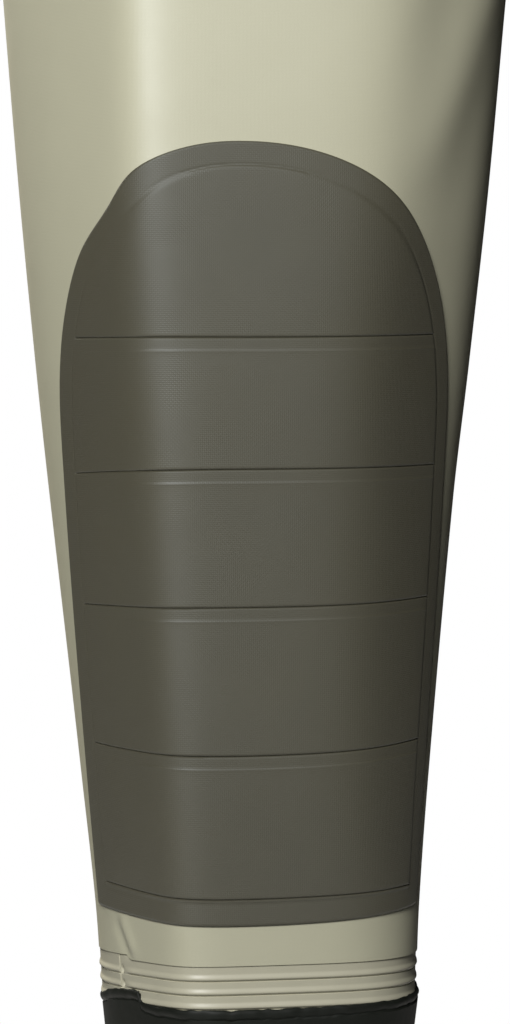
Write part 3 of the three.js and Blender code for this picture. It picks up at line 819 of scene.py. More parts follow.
@dataclass(frozen=True)
class RubberFinish:
    """Moulded or dipped rubber. Depths are in metres."""

    name: str
    colour: Colour
    worn_colour: Colour
    roughness: float
    grain_scale: float
    grain_depth: float
    dust: float
    gloss: float = 0.45

    def material(self) -> bpy.types.Material:
        """Builds the rubber's material on Object coordinates."""
        material, g, shader = new_material(self.name)
        place = g.add("TexCoord").outputs["Object"]
        tone = g.group(Effect.drift(), {"Place": place, "Scale": 13.0}).outputs["Tone"]
        colour = g.blend(tone, rgba(self.colour), rgba(self.worn_colour))
        dust = g.group(Effect.dust(), {"Place": place, "Amount": self.dust}).outputs["Mask"]
        colour = g.blend(dust, colour, rgba(DUST))
        smear = g.add("TexNoise", {"Vector": place, "Scale": 22.0, "Detail": 6.0, "Distortion": 1.2})
        rough = g.ramp(smear.outputs[0], 0.3, 0.7, self.roughness - 0.07, self.roughness + 0.1)
        rough = g.math("ADD", rough, g.math("MULTIPLY", dust, 0.3))
        grain = g.group(Effect.grain(), {"Place": place, "Scale": self.grain_scale}).outputs["Height"]
        wave = g.add("TexNoise", {"Vector": place, "Scale": 30.0, "Detail": 2.0})
        broad = g.add("Bump", {"Height": wave.outputs[0], "Distance": 0.0006, "Strength": 1.0})
        fine = g.add("Bump", {"Height": grain, "Distance": self.grain_depth, "Strength": 1.0,
                              "Normal": broad.outputs[0]})
        g.feed(shader, {
            "Base Color": colour, "Roughness": rough, "Normal": fine.outputs[0],
            "Specular IOR Level": self.gloss,
        })
        return material


LEG_CLOTH = ClothFinish("leg_cloth", (0.52, 0.505, 0.365), (0.495, 0.48, 0.345), 0.55 * MM, 0.02 * MM,
                        0.5, 0.0, 0.08, ripple=1.0 * MM, gloss=1.0, gloss_tint=(0.9, 0.95, 1.0))
HEM_CLOTH = ClothFinish("hem_cloth", (0.45, 0.44, 0.35), (0.40, 0.39, 0.31), 0.8 * MM, 0.1 * MM,
                        0.75, 0.2, 0.4)
PAD_CLOTH = ClothFinish("pad_cloth", (0.070, 0.063, 0.036), (0.061, 0.055, 0.032), 0.8 * MM, 0.05 * MM,
                        0.6, 0.0, 0.2, ripple=0.8 * MM, gloss=1.0, gloss_tint=(0.9, 0.96, 1.0))
BAND_RUBBER = RubberFinish("band_rubber", (0.50, 0.48, 0.36), (0.46, 0.44, 0.33), 0.5, 1400,
                           0.02 * MM, 0.05, gloss=0.8)
BOOT_RUBBER = RubberFinish("boot_rubber", (0.010, 0.0115, 0.008), (0.015, 0.017, 0.012), 0.45, 1300,
                           0.03 * MM, 0.12, gloss=0.35)
RAND_RUBBER = RubberFinish("rand_rubber", (0.011, 0.0125, 0.009), (0.017, 0.018, 0.014), 0.5, 700,
                           0.09 * MM, 0.2, gloss=0.4)
BINDING_RUBBER = RubberFinish("binding_rubber", (0.006, 0.007, 0.005), (0.010, 0.012, 0.009), 0.55, 260,
                              0.10 * MM, 0.02, gloss=0.22)
SOLE_RUBBER = RubberFinish("sole_rubber", (0.011, 0.011, 0.009), (0.018, 0.0175, 0.015), 0.62, 850,
                           0.08 * MM, 0.3, gloss=0.4)
INSOLE_FELT = ClothFinish("insole_felt", (0.075, 0.078, 0.066), (0.06, 0.062, 0.054), 1.6 * MM, 0.2 * MM,
                          0.9, 0.3, 0.4)


# The pieces

@dataclass
class Leg:
    """The tube of leg cloth, with the hem at its top."""

    form: LegForm
    cloth: float = 1.2 * MM
    hem_edge: float = 0.3386
    hem_height: float = 15 * MM
    hem_cloth: float = 1.0 * MM
    gap: float = 0.3 * MM
    columns: int = 300
    rows: int = 150
    lining_rows: int = 22
    folds: tuple[Fold, ...] = (
        Fold(66, 0.712, 64, 0.055, 0.017, 2.6 * MM, FoldKind.RIDGE),
        Fold(-58, 0.715, 86, 0.060, 0.011, 0.9 * MM),
        Fold(-46.5, 0.3474, -64, 0.0085, 0.0022, 0.8 * MM, FoldKind.STEP),
        Fold(150, 0.62, 40, 0.05, 0.014, 2.0 * MM, FoldKind.STEP),
        Fold(-150, 0.66, -48, 0.05, 0.015, 2.2 * MM, FoldKind.STEP),
        Fold(165, 0.45, 30, 0.04, 0.011, 1.6 * MM, FoldKind.STEP),
        Fold(-160, 0.50, -35, 0.04, 0.012, 1.8 * MM, FoldKind.STEP),
    )

    def lower_edge(self, turn: np.ndarray) -> np.ndarray:
        """Height of the leg's lower edge, which lies a little higher outside the tuck."""
        degrees = turn * 360
        beyond = smooth_step(-degrees, 45.2, 46.4) * (1 - smooth_step(-degrees, 95, 130))
        return self.hem_edge + 1.8 * MM * beyond

    def face(self, turn: np.ndarray, height: np.ndarray, inset: np.ndarray) -> np.ndarray:
        """Points of the cloth with its folds."""
        radius = self.form.round_radius(height)
        lift = sum(fold.lift(turn, height, radius) for fold in self.folds)
        return self.form.point(turn, height, inset - lift)

    def build_tube(self) -> bpy.types.Object:
        """The cloth: face, top rim, lining and lower rim."""
        turn = np.linspace(-0.5, 0.5, self.columns + 1)[None, :]
        up = paced(self.rows, ((0, 0.02, 3),))[:, None]
        down = np.linspace(1, 0, self.lining_rows + 1)[:, None]
        low = self.lower_edge(turn)
        outside = self.face(turn, mix(low, self.form.top, up), 0.0)
        lining = self.face(turn, mix(low, self.form.top, down), self.cloth)
        return ring_wall("leg_cloth", np.concatenate([outside, lining, outside[:1]]))

    def build_hem(self) -> bpy.types.Object:
        """The hem that folds over the top edge."""
        turn = np.linspace(-0.5, 0.5, self.columns + 1)[None, :]
        top, low = self.form.top + self.gap, self.form.top - self.hem_height
        out = -self.gap - self.hem_cloth
        section = [(low, -self.gap), (low, out + 0.3 * MM), (low + 0.4 * MM, out)]
        section += [(height, out) for height in np.linspace(low + 1.5 * MM, top, 12)]
        section += [(top + 0.7 * MM, out + 0.3 * MM), (top + self.hem_cloth, out + 1.0 * MM)]
        section += [(top + self.hem_cloth, self.cloth - 0.3 * MM), (top + 0.7 * MM, self.cloth)]
        section += [(top, self.cloth), (top, -self.gap)]
        section.append(section[0])
        height = np.array([row[0] for row in section])[:, None]
        inset = np.array([row[1] for row in section])[:, None]
        return ring_wall("hem", self.face(turn, height, inset))

    def build(self) -> None:
        """Builds and dresses the leg."""
        tube = self.build_tube()
        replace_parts(dress(tube, LEG_CLOTH.material()), "leg")
        hem = self.build_hem()
        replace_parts(dress(hem, HEM_CLOTH.material()), "top_hem")


@dataclass(frozen=True)
class Seam:
    """A quilting seam: its height above the pad's bottom, and how far its ends rise."""

    height: float
    outer_rise: float
    inner_rise: float


@dataclass
class KneePad:
    """The quilted knee and shin pad: one cloth over five foam panels."""

    leg: Leg
    bottom: float = 0.355
    height: float = 0.316
    outer_reach: float = 92.5 * MM
    inner_reach: float = 104.5 * MM
    outer_taper: float = 13.5 * MM
    inner_taper: float = 20 * MM
    taper_curve: float = 1.4
    dome_height: float = 111 * MM
    dome_roundness: float = 2.15
    border: float = 9.6 * MM
    valley: float = 5.2 * MM
    lift: float = 1.2 * MM
    foam: float = 0.8 * MM
    dent: float = 5 * MM
    dent_height: float = 0.645
    dent_spread: float = 12 * MM
    facet_from: float = 36 * MM
    facet_to: float = 50 * MM
    front_step: tuple[float, float] = (-0.4 * MM, 1.6 * MM)
    side_step: tuple[float, float] = (-7 * MM, 14 * MM)
    border_ridge: float = 0.16 * MM
    seam_ridge: float = 0.13 * MM
    seam_width: float = 0.26 * MM
    seam_depth: float = 0.8 * MM
    ditch: float = 0.12 * MM
    gap: float = 0.3 * MM
    columns: int = 130
    seams: tuple[Seam, ...] = (
        Seam(11 * MM, 5.7 * MM, 3.2 * MM),
        Seam(69.7 * MM, 4 * MM, 5 * MM),
        Seam(129.8 * MM, 0, 3 * MM),
        Seam(185.3 * MM, -2.7 * MM, 1.4 * MM),
        Seam(238 * MM, 0, 2 * MM),
    )

    @property
    def top(self) -> float:
        """Height of the pad's crown."""
        return self.bottom + self.height

    def reach(self, height: np.ndarray, inner: np.ndarray) -> np.ndarray:
        """How far the pad reaches round the leg from its front.

        Args:
            height: Heights above the ground.
            inner: Whether to measure towards the wearer's inner side.

        Returns:
            The tape lengths.
        """
        base = self.top - self.dome_height
        wide = np.where(inner, self.inner_reach, self.outer_reach)
        taper = np.where(inner, self.inner_taper, self.outer_taper)
        fall = np.clip((base - height) / (base - self.bottom), 0, 1)
        up = np.clip((height - base) / self.dome_height, 0, 1)
        dome = wide * (1 - up**self.dome_roundness) ** (1 / self.dome_roundness)
        outline = np.where(height <= base, wide - taper * fall**self.taper_curve, dome)
        return outline - self.pulled_in(height, inner)

    def pulled_in(self, height: np.ndarray, inner: np.ndarray) -> np.ndarray:
        """How far the outline is drawn in where the leg's outer crease crosses the dome."""
        return np.where(inner, 0, self.dent * hump(height, self.dent_height, self.dent_spread))

    def edge_distance(self, arc: np.ndarray, height: np.ndarray) -> np.ndarray:
        """Distance in from the pad's outline."""
        base = self.top - self.dome_height
        full = np.where(arc > 0, self.inner_reach, self.outer_reach)
        side = self.reach(np.minimum(height, base), arc > 0) - np.abs(arc)
        up = np.clip(height - base, 0, None) / self.dome_height
        wide = (np.abs(arc) + self.pulled_in(height, arc > 0)) / full
        power = self.dome_roundness
        reach = np.maximum((wide**power + up**power) ** (1 / power), 1e-6)
        slope_wide = (wide / reach) ** (power - 1) / full
        slope_up = (up / reach) ** (power - 1) / self.dome_height
        dome = (1 - reach) / np.hypot(slope_wide, slope_up)
        return np.minimum(np.where(height <= base, side, dome), height - self.bottom)

    def levels(self) -> np.ndarray:
        """Rows of the pad above its bottom, close together at seams and edges."""
        near = np.array([-6.4, -5.9, -5.6, -5.3, -5.0, -4.6, -4.0, -3.0, -2.0, -1.3, -0.8, -0.5, -0.25,
                         0, 0.2, 0.45, 0.75, 1.1, 1.6, 2.3, 3.2]) * MM
        dome_base = self.height - self.dome_height
        rows = [np.array([0, 0.25, 0.6, 1.1, 1.8, 3.0]) * MM]
        rows += [seam.height + near for seam in self.seams]
        starts = [seam.height + near[-1] for seam in self.seams]
        ends = [seam.height + near[0] for seam in self.seams[1:]]
        for start, end in zip(starts, ends):
            rows.append(np.linspace(start, end, round((end - start) / (2.4 * MM)) + 1)[1:-1])
        first = math.asin((starts[-1] - dome_base) / self.dome_height)
        dome = dome_base + self.dome_height * np.sin(np.linspace(first, math.radians(89.4), 58))
        crown = self.height - self.border
        near_crown = np.linspace(crown - 3 * MM, crown + 2 * MM, 22)
        rows += [dome[1:][(dome[1:] < near_crown[0]) | (dome[1:] > near_crown[-1])], near_crown]
        return np.sort(np.concatenate(rows))

    def shares(self) -> np.ndarray:
        """Columns across the pad from -1 to 1, close together at its edges and borders."""
        line = 1 - self.border / self.outer_reach
        spots = tuple((0.5 + side * at / 2, width, crowd) for side in (-1, 1)
                      for at, width, crowd in ((line, 0.012, 5), (1, 0.006, 6)))
        return paced(self.columns, spots) * 2 - 1

    def end_rise(self, level: np.ndarray, share: np.ndarray) -> np.ndarray:
        """How far a row has risen a share of the way to its outer or inner end."""
        places = [0.0, *(seam.height for seam in self.seams), self.height]
        outer = np.interp(level, places, [4.9 * MM, *(seam.outer_rise for seam in self.seams), 0.0])
        inner = np.interp(level, places, [4.9 * MM, *(seam.inner_rise for seam in self.seams), 0.0])
        return np.where(share < 0, outer, inner) * share**2

    def relief(self, arc: np.ndarray, distance: np.ndarray, level: np.ndarray) -> np.ndarray:
        """Height of the pad's face above the leg.

        Args:
            arc: Tape lengths from the front, negative towards the outer side.
            distance: Distances in from the outline.
            level: Heights above the pad's bottom, along the seams.

        Returns:
            The heights.
        """
        inside = distance - self.border
        beside = smooth_step(-arc, self.facet_from, self.facet_to)
        crisp, soft = (smooth_step(inside, low, high) for low, high in (self.front_step, self.side_step))
        panel = mix(crisp, soft, beside)
        ridge = hump(inside, 0.5 * MM, 0.5 * MM) * self.border_ridge
        pillow = 1 - 0.35 * np.exp(-np.clip(inside, 0, None) / (7 * MM))
        groove = np.zeros_like(level)
        for seam in self.seams:
            above = level - seam.height
            low_edge = smooth_step(above, 0.0, 0.9 * MM)
            high_edge = 1 - smooth_step(above, -self.valley - 0.4 * MM, -self.valley + 0.9 * MM)
            closed = np.where(above > -self.valley / 2, low_edge, high_edge)
            panel = panel * np.maximum(closed, mix(0.72, 0.95, beside))
            ridge = ridge + hump(above, -self.valley - 0.1 * MM, 0.5 * MM) * self.seam_ridge
            groove = groove + hump(above, -0.05 * MM, self.seam_width) * self.seam_depth
        ridge = ridge * smooth_step(inside, -0.2 * MM, 0.6 * MM) * (1 - beside)
        ditch = hump(inside, -0.5 * MM, 0.5 * MM) * self.ditch
        edge = smooth_step(distance, -0.3 * MM, 0.9 * MM)
        body = (self.lift - 0.2 * MM) * edge + 0.2 * MM + self.gap * (1 - edge)
        sewn = groove * smooth_step(inside, -0.6 * MM, 0.2 * MM)
        return body + self.foam * panel * pillow + ridge - sewn - ditch

    def build(self) -> None:
        """Builds the pad's face and back, joins them at the rim and dresses the pad."""
        level = self.levels()[:, None]
        share = self.shares()[None, :]
        flat = self.bottom + level
        arc = self.reach(flat, share > 0) * share
        height = flat + self.end_rise(level, share)
        turn = self.leg.form.turn_at_arc(flat, arc)
        relief = self.relief(arc, self.edge_distance(arc, flat), level + 0 * share)
        front = self.leg.face(turn, height, -relief)
        back = self.leg.face(turn, height, np.full_like(relief, -0.25 * MM))
        tape = np.stack([arc, level + 0 * share], axis=-1)
        pad = lay_grid("knee_pad", front, tape)
        under = lay_grid("pad_back", back, tape)
        body = bmesh.new()
        body.from_mesh(under.data)
        bmesh.ops.reverse_faces(body, faces=body.faces)
        body.from_mesh(pad.data)
        bmesh.ops.bridge_loops(body, edges=[edge for edge in body.edges if edge.is_boundary])
        body.to_mesh(pad.data)
        body.free()
        bpy.data.objects.remove(under)
        shade(pad, 55)
        panels = [f"knee_panel_{k}" for k in range(1, 6)]
        dress(pad, PAD_CLOTH.material())
        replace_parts(pad, "knee_patch", *panels)


@dataclass
class Collar:
    """Joint of boot and leg: the ribbed band and the dark binding with its glued edge."""

    leg: Leg
    rib_pitch: float = 5.85 * MM
    rib_depth: float = 1.0 * MM
    band_low: float = 0.313
    binding_low: float = 0.306
    under_binding: float = 1.6 * MM
    lap_turn: float = -51.5
    lap_step: float = 0.2 * MM
    notch_depth: float = 1.1 * MM
    bead: float = 4.2 * MM
    fullness: float = 1.0 * MM

    def boot_edge(self, turn: np.ndarray) -> np.ndarray:
        """Height of the dark edge: higher at the sides, with a raised lip beside the lap."""
        degrees = (np.mod(turn + 0.5, 1) - 0.5) * 360
        base = self.leg.form.boot_height + 0.4 * MM + 2.6 * MM * (1 - np.cos(turn * TURN))
        base = np.minimum(base, self.leg.form.boot_height + 3.2 * MM)
        places = [-150, -110, -87, -72, -58, -50, -41.6, -40.4, -34]
        lip = np.interp(degrees, places, [0, -2.4, -3.0, -0.6, 3.3, 4.7, 4.9, 1.2, 0]) * MM
        rough = wander(turn, ((23, 0.12, 0.4), (41, 0.10, 2.1), (67, 0.10, 4.4), (97, 0.06, 1.0))) * MM
        return base + lip + rough

    def rib_profile(self, height: np.ndarray, turn: np.ndarray) -> np.ndarray:
        """Depth of the band's face below the rib crests."""
        low = self.leg.form.boot_height + 0.3 * MM
        top = low + 2 * self.rib_pitch
        phase = np.mod(height - low, self.rib_pitch) / self.rib_pitch
        phase = np.where(height > top, (height - top) / self.rib_pitch, phase)
        crest = smooth_step(phase, 0.0, 0.2) * (1 - 0.6 * smooth_step(phase, 0.22, 0.6))
        depth = self.rib_depth * (1 - crest)
        degrees = (np.mod(turn + 0.5, 1) - 0.5) * 360 - self.lap_turn
        inner_side = degrees > 0
        start = np.where(inner_side, 1 - smooth_step(degrees, 0.8, 7.0), 0)
        depth = mix(depth, self.rib_depth * 0.75, start)
        notch = hump(degrees, 0.9, 0.75) * hump(phase, 0.30, 0.25) * self.notch_depth
        step = np.where(inner_side, 0.0, -self.lap_step) * (1 - smooth_step(-degrees, 40, 80))
        tucked = self.under_binding + 0.4 * MM
        covered = smooth_step(self.boot_edge(turn) - height, 0.9 * MM, 1.5 * MM)
        return mix(depth + notch + step, tucked, covered)

    def build_band(self) -> bpy.types.Object:
        """The taupe band with its ribs and lap joint."""
        form = self.leg.form
        lap = 0.5 + self.lap_turn / 360
        turn = (paced(420, ((lap + 0.002, 0.006, 9),)) - 0.5)[None, :]
        shoulder = self.leg.hem_edge + 2.2 * MM
        face_height = np.linspace(self.band_low, shoulder, 110)[:, None]
        face = self.leg.face(turn, face_height, self.rib_profile(face_height, turn))
        section = [(shoulder, 1.5 * MM), (shoulder + 5 * MM, 1.5 * MM), (shoulder + 5 * MM, 2.6 * MM),
                   (self.band_low, 2.9 * MM)]
        height = np.array([row[0] for row in section])[:, None]
        inset = np.array([row[1] for row in section])[:, None]
        inside = self.leg.face(turn, height, inset + 0 * turn)
        return ring_wall("band", np.concatenate([face, inside, face[:1]]))

    def build_binding(self) -> bpy.types.Object:
        """The dark tape with a thick uneven bead of glue along its edge."""
        lip = 0.5 - 40 / 360
        turn = (paced(460, ((lip, 0.02, 5),)) - 0.5)[None, :]
        edge = self.boot_edge(turn)
        swell = 1 + wander(turn, ((9, 0.16, 1.0), (17, 0.14, 3.0), (31, 0.12, 0.2), (53, 0.1, 5.0)))
        fuller = self.fullness * np.clip(np.sin(turn * TURN), 0, 1)
        low = np.full_like(turn, self.binding_low)
        rows = [(low, np.full_like(turn, self.under_binding)), (low, 0.3 * MM - fuller),
                (low + 0.5 * MM, -0.1 * MM - fuller)]
        groove = edge - self.bead
        for share in np.linspace(0.1, 1, 8):
            rows.append((mix(self.binding_low + 0.5 * MM, groove - 0.5 * MM, share), -0.1 * MM - fuller))
        rows.append((groove, 0.35 * MM - fuller))
        for angle in np.linspace(-70, 100, 15):
            out = math.cos(math.radians(angle))
            up = (1 + math.sin(math.radians(min(angle, 90)))) / 2
            bulge = 1.0 * MM * out * swell + fuller / 3
            rows.append((mix(groove + 0.3 * MM, edge, up), 0.45 * MM - bulge))
        rows.append((edge - 0.2 * MM, 0.9 * MM + 0 * turn))
        rows.append((groove, self.under_binding + 0 * turn))
        rows.append(rows[0])
        height = np.concatenate([row[0] for row in rows])
        inset = np.concatenate([row[1] for row in rows])
        return ring_wall("binding", self.leg.face(turn, height, inset))

    def build(self) -> None:
        """Builds and dresses the joint."""
        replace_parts(dress(self.build_band(), BAND_RUBBER.material()), "ribbed_band")
        binding = dress(self.build_binding(), BINDING_RUBBER.material())
        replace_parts(binding, "shaft_binding")


@dataclass
class Boot:
    """The rubber foot and shaft, and the rand round it."""

    foot: FootForm
    wall: float = 2.8 * MM
    columns: int = 240
    foot_rows: int = 64
    shaft_rows: int = 52
    rand_thickness: float = 2.0 * MM
    rand_gap: float = 0.3 * MM
    rand_toe: float = 34 * MM
    rand_side: float = 15 * MM
    rand_heel: float = 34 * MM
    neck_top: float = 0.3486
    ledge: float = 0.3057
    tuck: float = 0.3127
    neck_outside: float = 3.0 * MM
    neck_inside: float = 5.2 * MM
    ankle_radius: float = 0.055
    folds: tuple[Fold, ...] = (
        Fold(0, 0.137, 0, 0.055, 0.0075, 2.0 * MM),
        Fold(4, 0.158, 2, 0.050, 0.0070, 1.6 * MM),
        Fold(-6, 0.181, -3, 0.045, 0.0070, 1.1 * MM),
        Fold(88, 0.150, -14, 0.035, 0.0065, 1.1 * MM),
        Fold(-92, 0.146, 14, 0.035, 0.0065, 1.1 * MM),
        Fold(176, 0.166, 4, 0.040, 0.0080, 0.9 * MM),
    )

    def lift(self, turn: np.ndarray, points: np.ndarray) -> np.ndarray:
        """How far the ankle's creases move the face outward."""
        return sum(fold.lift(turn, points[..., 2], self.ankle_radius) for fold in self.folds)

    def foot_face(self, turn: np.ndarray, rise: np.ndarray, inset: float) -> np.ndarray:
        """Points of the foot with its creases."""
        plain = self.foot.point(turn, rise, np.zeros(np.broadcast(turn, rise).shape))
        return self.foot.point(turn, rise, inset - self.lift(turn + 0 * rise, plain))

    def shaft_face(self, turn: np.ndarray, height: np.ndarray, inset: float) -> np.ndarray:
        """Points of the shaft with its creases."""
        plain = self.foot.leg.point(turn, height)
        return self.foot.leg.point(turn, height, inset - self.lift(turn + 0 * height, plain))

    def build_upper(self) -> bpy.types.Object:
        """The hollow rubber upper."""
        turn = np.linspace(-0.5, 0.5, self.columns + 1)[None, :]
        ankle = self.foot.leg.ankle_height
        rise = np.linspace(0, 1, self.foot_rows + 1)[:-1, None]
        height = np.linspace(ankle, self.ledge, self.shaft_rows + 1)[:, None]
        outside = [self.foot_face(turn, rise, 0.0), self.shaft_face(turn, height, 0.0)]
        neck = ((self.ledge, 1.6 * MM), (self.tuck, 1.6 * MM), (self.tuck, self.neck_outside),
                (self.neck_top, self.neck_outside), (self.neck_top, self.neck_inside),
                (self.ledge, self.neck_inside))
        for level, inset in neck:
            outside.append(self.foot.leg.point(turn, np.array([[level]]), inset))
        down = np.linspace(self.ledge - 16 * MM, ankle, 20)[:, None]
        inside = [self.shaft_face(turn, down, self.wall),
                  self.foot_face(turn, np.linspace(1, 0, 26)[1:, None], self.wall)]
        lattice = np.concatenate([*outside, *inside, outside[0][:1]])
        return ring_wall("upper", lattice)

    def rand_line(self, y: np.ndarray) -> np.ndarray:
        """Height of the rand's upper edge at a place along Y."""
        along = (self.foot.sole_back - y) / self.foot.sole_length
        toe = (self.rand_toe - self.rand_side) * smooth_step(along, 0.62, 0.97)
        heel = (self.rand_heel - self.rand_side) * (1 - smooth_step(along, 0.03, 0.34))
        return self.foot.seat(y) + self.rand_side + toe + heel

    def build_rand(self) -> bpy.types.Object:
        """The rubber strip round the foot, with a rounded upper edge."""
        turn = np.linspace(-0.5, 0.5, self.columns + 1)[None, :]
        fine = np.linspace(0, 0.7, 141)[:, None]
        plain = self.foot_face(turn, fine, 0.0)
        over = plain[..., 2] - self.rand_line(plain[..., 1])
        limit = np.array([np.interp(0, over[:, k], fine[:, 0]) for k in range(over.shape[1])])[None, :]
        bevel, thick, gap = 0.05, self.rand_thickness, self.rand_gap
        rows = [(0.0, -gap), (0.0, -gap - thick + 0.3 * MM), (0.012, -gap - thick)]
        rows += [(share, -gap - thick) for share in np.linspace(0.06, 1 - bevel, 14)]
        for angle in (25, 50, 75):
            turned = math.radians(angle)
            left = 0.45 + 0.55 * math.cos(turned)
            rows.append((1 - bevel * (1 - math.sin(turned)), -gap - thick * left))
        rows += [(1.0, -gap - 0.1 * MM), (1.0, -gap), (0.5, -gap), (0.0, -gap)]
        rise = np.concatenate([share * limit for share, _ in rows])
        inset = np.array([depth for _, depth in rows])[:, None] + 0 * rise
        lift = self.lift(turn + 0 * rise, self.foot.point(turn, rise, 0 * rise))
        return ring_wall("rand_strip", self.foot.point(turn, rise, inset - lift))

    def build(self) -> None:
        """Builds and dresses the upper and the rand."""
        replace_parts(dress(self.build_upper(), BOOT_RUBBER.material()), "boot_upper")
        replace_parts(dress(self.build_rand(), RAND_RUBBER.material()), "rand")


@dataclass
class Outsole:
    """The cleated sole: a flange, a set-back block and bevelled lugs."""

    foot: FootForm
    flange_height: float = 8 * MM
    flange_step: float = 2 * MM
    ledge_width: float = 9 * MM
    lug_depth: float = 5 * MM
    lug_pitch: float = 17 * MM
    groove: float = 5.5 * MM
    centre_lug: float = 27 * MM
    chevron: float = 14.0
    sides: int = 260
    slices: int = 40

    def chevron_lines(self) -> list[float]:
        """Places along Y where chevron grooves cross the middle line."""
        fore = float(self.foot.y_at(self.foot.forefoot_from)) - self.lug_pitch / 2
        toe = float(self.foot.y_at(1)) + self.lug_pitch / 2
        lines = [-self.lug_pitch, self.lug_pitch]
        while fore > toe:
            lines.append(fore)
            fore -= self.lug_pitch
        return lines

    def cut_line(self, body: bmesh.types.BMesh, point: Vector, across: Vector, side: int = 0) -> None:
        """Cuts the flat sole along a line, on one side of the foot or on both."""
        faces = [face for face in body.faces if not side or face.calc_center_median().x * side > 0]
        geometry = set(faces)
        for face in faces:
            geometry.update(face.edges)
            geometry.update(face.verts)
        bmesh.ops.bisect_plane(body, geom=list(geometry), plane_co=point, plane_no=across, dist=1e-7)

    def is_groove(self, centre: Vector) -> bool:
        """Whether a face of the tread lies in a groove."""
        sweep = abs(centre.x) * math.tan(math.radians(self.chevron))
        heel_front = self.foot.sole_back - self.foot.heel_block
        fore_back = float(self.foot.y_at(self.foot.forefoot_from))
        beside = (self.centre_lug + self.groove) / 2
        in_waist = fore_back + 0.5 * MM < centre.y < heel_front - 0.5 * MM
        if in_waist:
            return False
        if abs(abs(centre.x) - beside) < self.groove / 2:
            return True
        return any(abs(centre.y - line - sweep) < self.groove / 2 for line in self.chevron_lines())

    def flat_plan(self) -> bmesh.types.BMesh:
        """The sole's plan as a flat sheet, cut along slices and grooves."""
        body = bmesh.new()
        ring = bmesh.ops.create_circle(body, segments=self.sides, radius=1, cap_ends=True)["verts"]
        outline = self.foot.plan(np.arange(self.sides) / self.sides, self.flange_step)
        for vert, place in zip(ring, outline):
            vert.co = (place[0], place[1], 0)
        up, side = Vector((0, 1, 0)), Vector((1, 0, 0))
        self.cut_line(body, Vector((0, 0, 0)), side)
        for along in np.linspace(0, 1, self.slices + 1)[1:-1]:
            self.cut_line(body, Vector((0, float(self.foot.y_at(along)), 0)), up)
        heel_front = self.foot.sole_back - self.foot.heel_block
        for y in (heel_front, float(self.foot.y_at(self.foot.forefoot_from))):
            self.cut_line(body, Vector((0, y, 0)), up)
        for sign in (-1, 1):
            for half in (-self.groove / 2, self.groove / 2):
                x = sign * ((self.centre_lug + self.groove) / 2 + half)
                self.cut_line(body, Vector((x, 0, 0)), side, sign)
                lean = math.tan(math.radians(self.chevron)) * sign
                across = Vector((-lean, 1, 0)).normalized()
                for line in self.chevron_lines():
                    self.cut_line(body, Vector((0, line + half, 0)), across, sign)
        return body

    def build_mesh(self) -> bpy.types.Object:
        """The sole: tread, lugs, block, flange and ledge."""
        body = self.flat_plan()
        foot = self.foot
        for vert in body.verts:
            vert.co.z = float(foot.underside(vert.co.y)) + self.lug_depth
        tread = [face for face in body.faces if not self.is_groove(face.calc_center_median())]
        bmesh.ops.reverse_faces(body, faces=body.faces[:])
        lowered = bmesh.ops.extrude_face_region(body, geom=tread)["geom"]
        bmesh.ops.delete(body, geom=tread, context="FACES_ONLY")
        for vert in [item for item in lowered if isinstance(item, bmesh.types.BMVert)]:
            vert.co.z -= self.lug_depth
        rim = [edge for edge in body.edges if edge.is_boundary]
        flange = self.flange_height
        for inset, drop in ((self.flange_step, flange + 0.6 * MM), (1.6 * MM, flange),
                            (0.4 * MM, flange - 0.2 * MM), (0.0, flange - 0.8 * MM), (0.0, 0.9 * MM),
                            (0.3 * MM, 0.2 * MM), (0.9 * MM, 0.0), (self.ledge_width, 0.0)):
            rim = self.raise_rim(body, rim, inset, drop)
        bmesh.ops.holes_fill(body, edges=rim)
        bmesh.ops.recalc_face_normals(body, faces=body.faces)
        edges = [edge for edge in body.edges if self.on_lug_edge(edge)]
        bmesh.ops.bevel(body, geom=edges, offset=0.6 * MM, offset_type="OFFSET", segments=2, profile=0.5,
                        affect="EDGES", material=-1, clamp_overlap=True)
        mesh = bpy.data.meshes.new("sole")
        body.to_mesh(mesh)
        body.free()
        piece = bpy.data.objects.new("sole", mesh)
        bpy.context.scene.collection.objects.link(piece)
        return shade(piece, 35)

    def raise_rim(self, body: bmesh.types.BMesh, rim: list, inset: float, drop: float) -> list:
        """Extrudes the sole's open rim to a distance in from its plan and below its seat.

        Args:
            body: The sole.
            rim: Its open edges.
            inset: Distance in from the plan's edge.
            drop: Distance below the seat.

        Returns:
            The new open edges.
        """
        made = bmesh.ops.extrude_edge_only(body, edges=rim)["geom"]
        verts = [item for item in made if isinstance(item, bmesh.types.BMVert)]
        for vert in verts:
            turn = self.turn_of(vert.co, self.foot.plan_line[:-1])
            place = self.foot.plan(np.array([turn]), np.array([inset]))[0]
            height = float(self.foot.seat(place[1])) - drop
            vert.co = (place[0], place[1], height)
        return [item for item in made if isinstance(item, bmesh.types.BMEdge)]

    @staticmethod
    def turn_of(place: Vector, line: np.ndarray) -> float:
        """Share of the way round the plan that lies nearest to a point."""
        away = np.hypot(line[:, 0] - place.x, line[:, 1] - place.y)
        return float(np.argmin(away)) / len(line)

    def on_lug_edge(self, edge: bmesh.types.BMEdge) -> bool:
        """Whether an edge is the outer corner of a lug."""
        if len(edge.link_faces) != 2:
            return False
        low = all(vert.co.z < float(self.foot.underside(vert.co.y)) + 0.2 * MM for vert in edge.verts)
        return low and edge.calc_face_angle(0.0) > math.radians(50)

    def build(self) -> None:
        """Builds and dresses the sole."""
        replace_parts(dress(self.build_mesh(), SOLE_RUBBER.material()), "outsole")


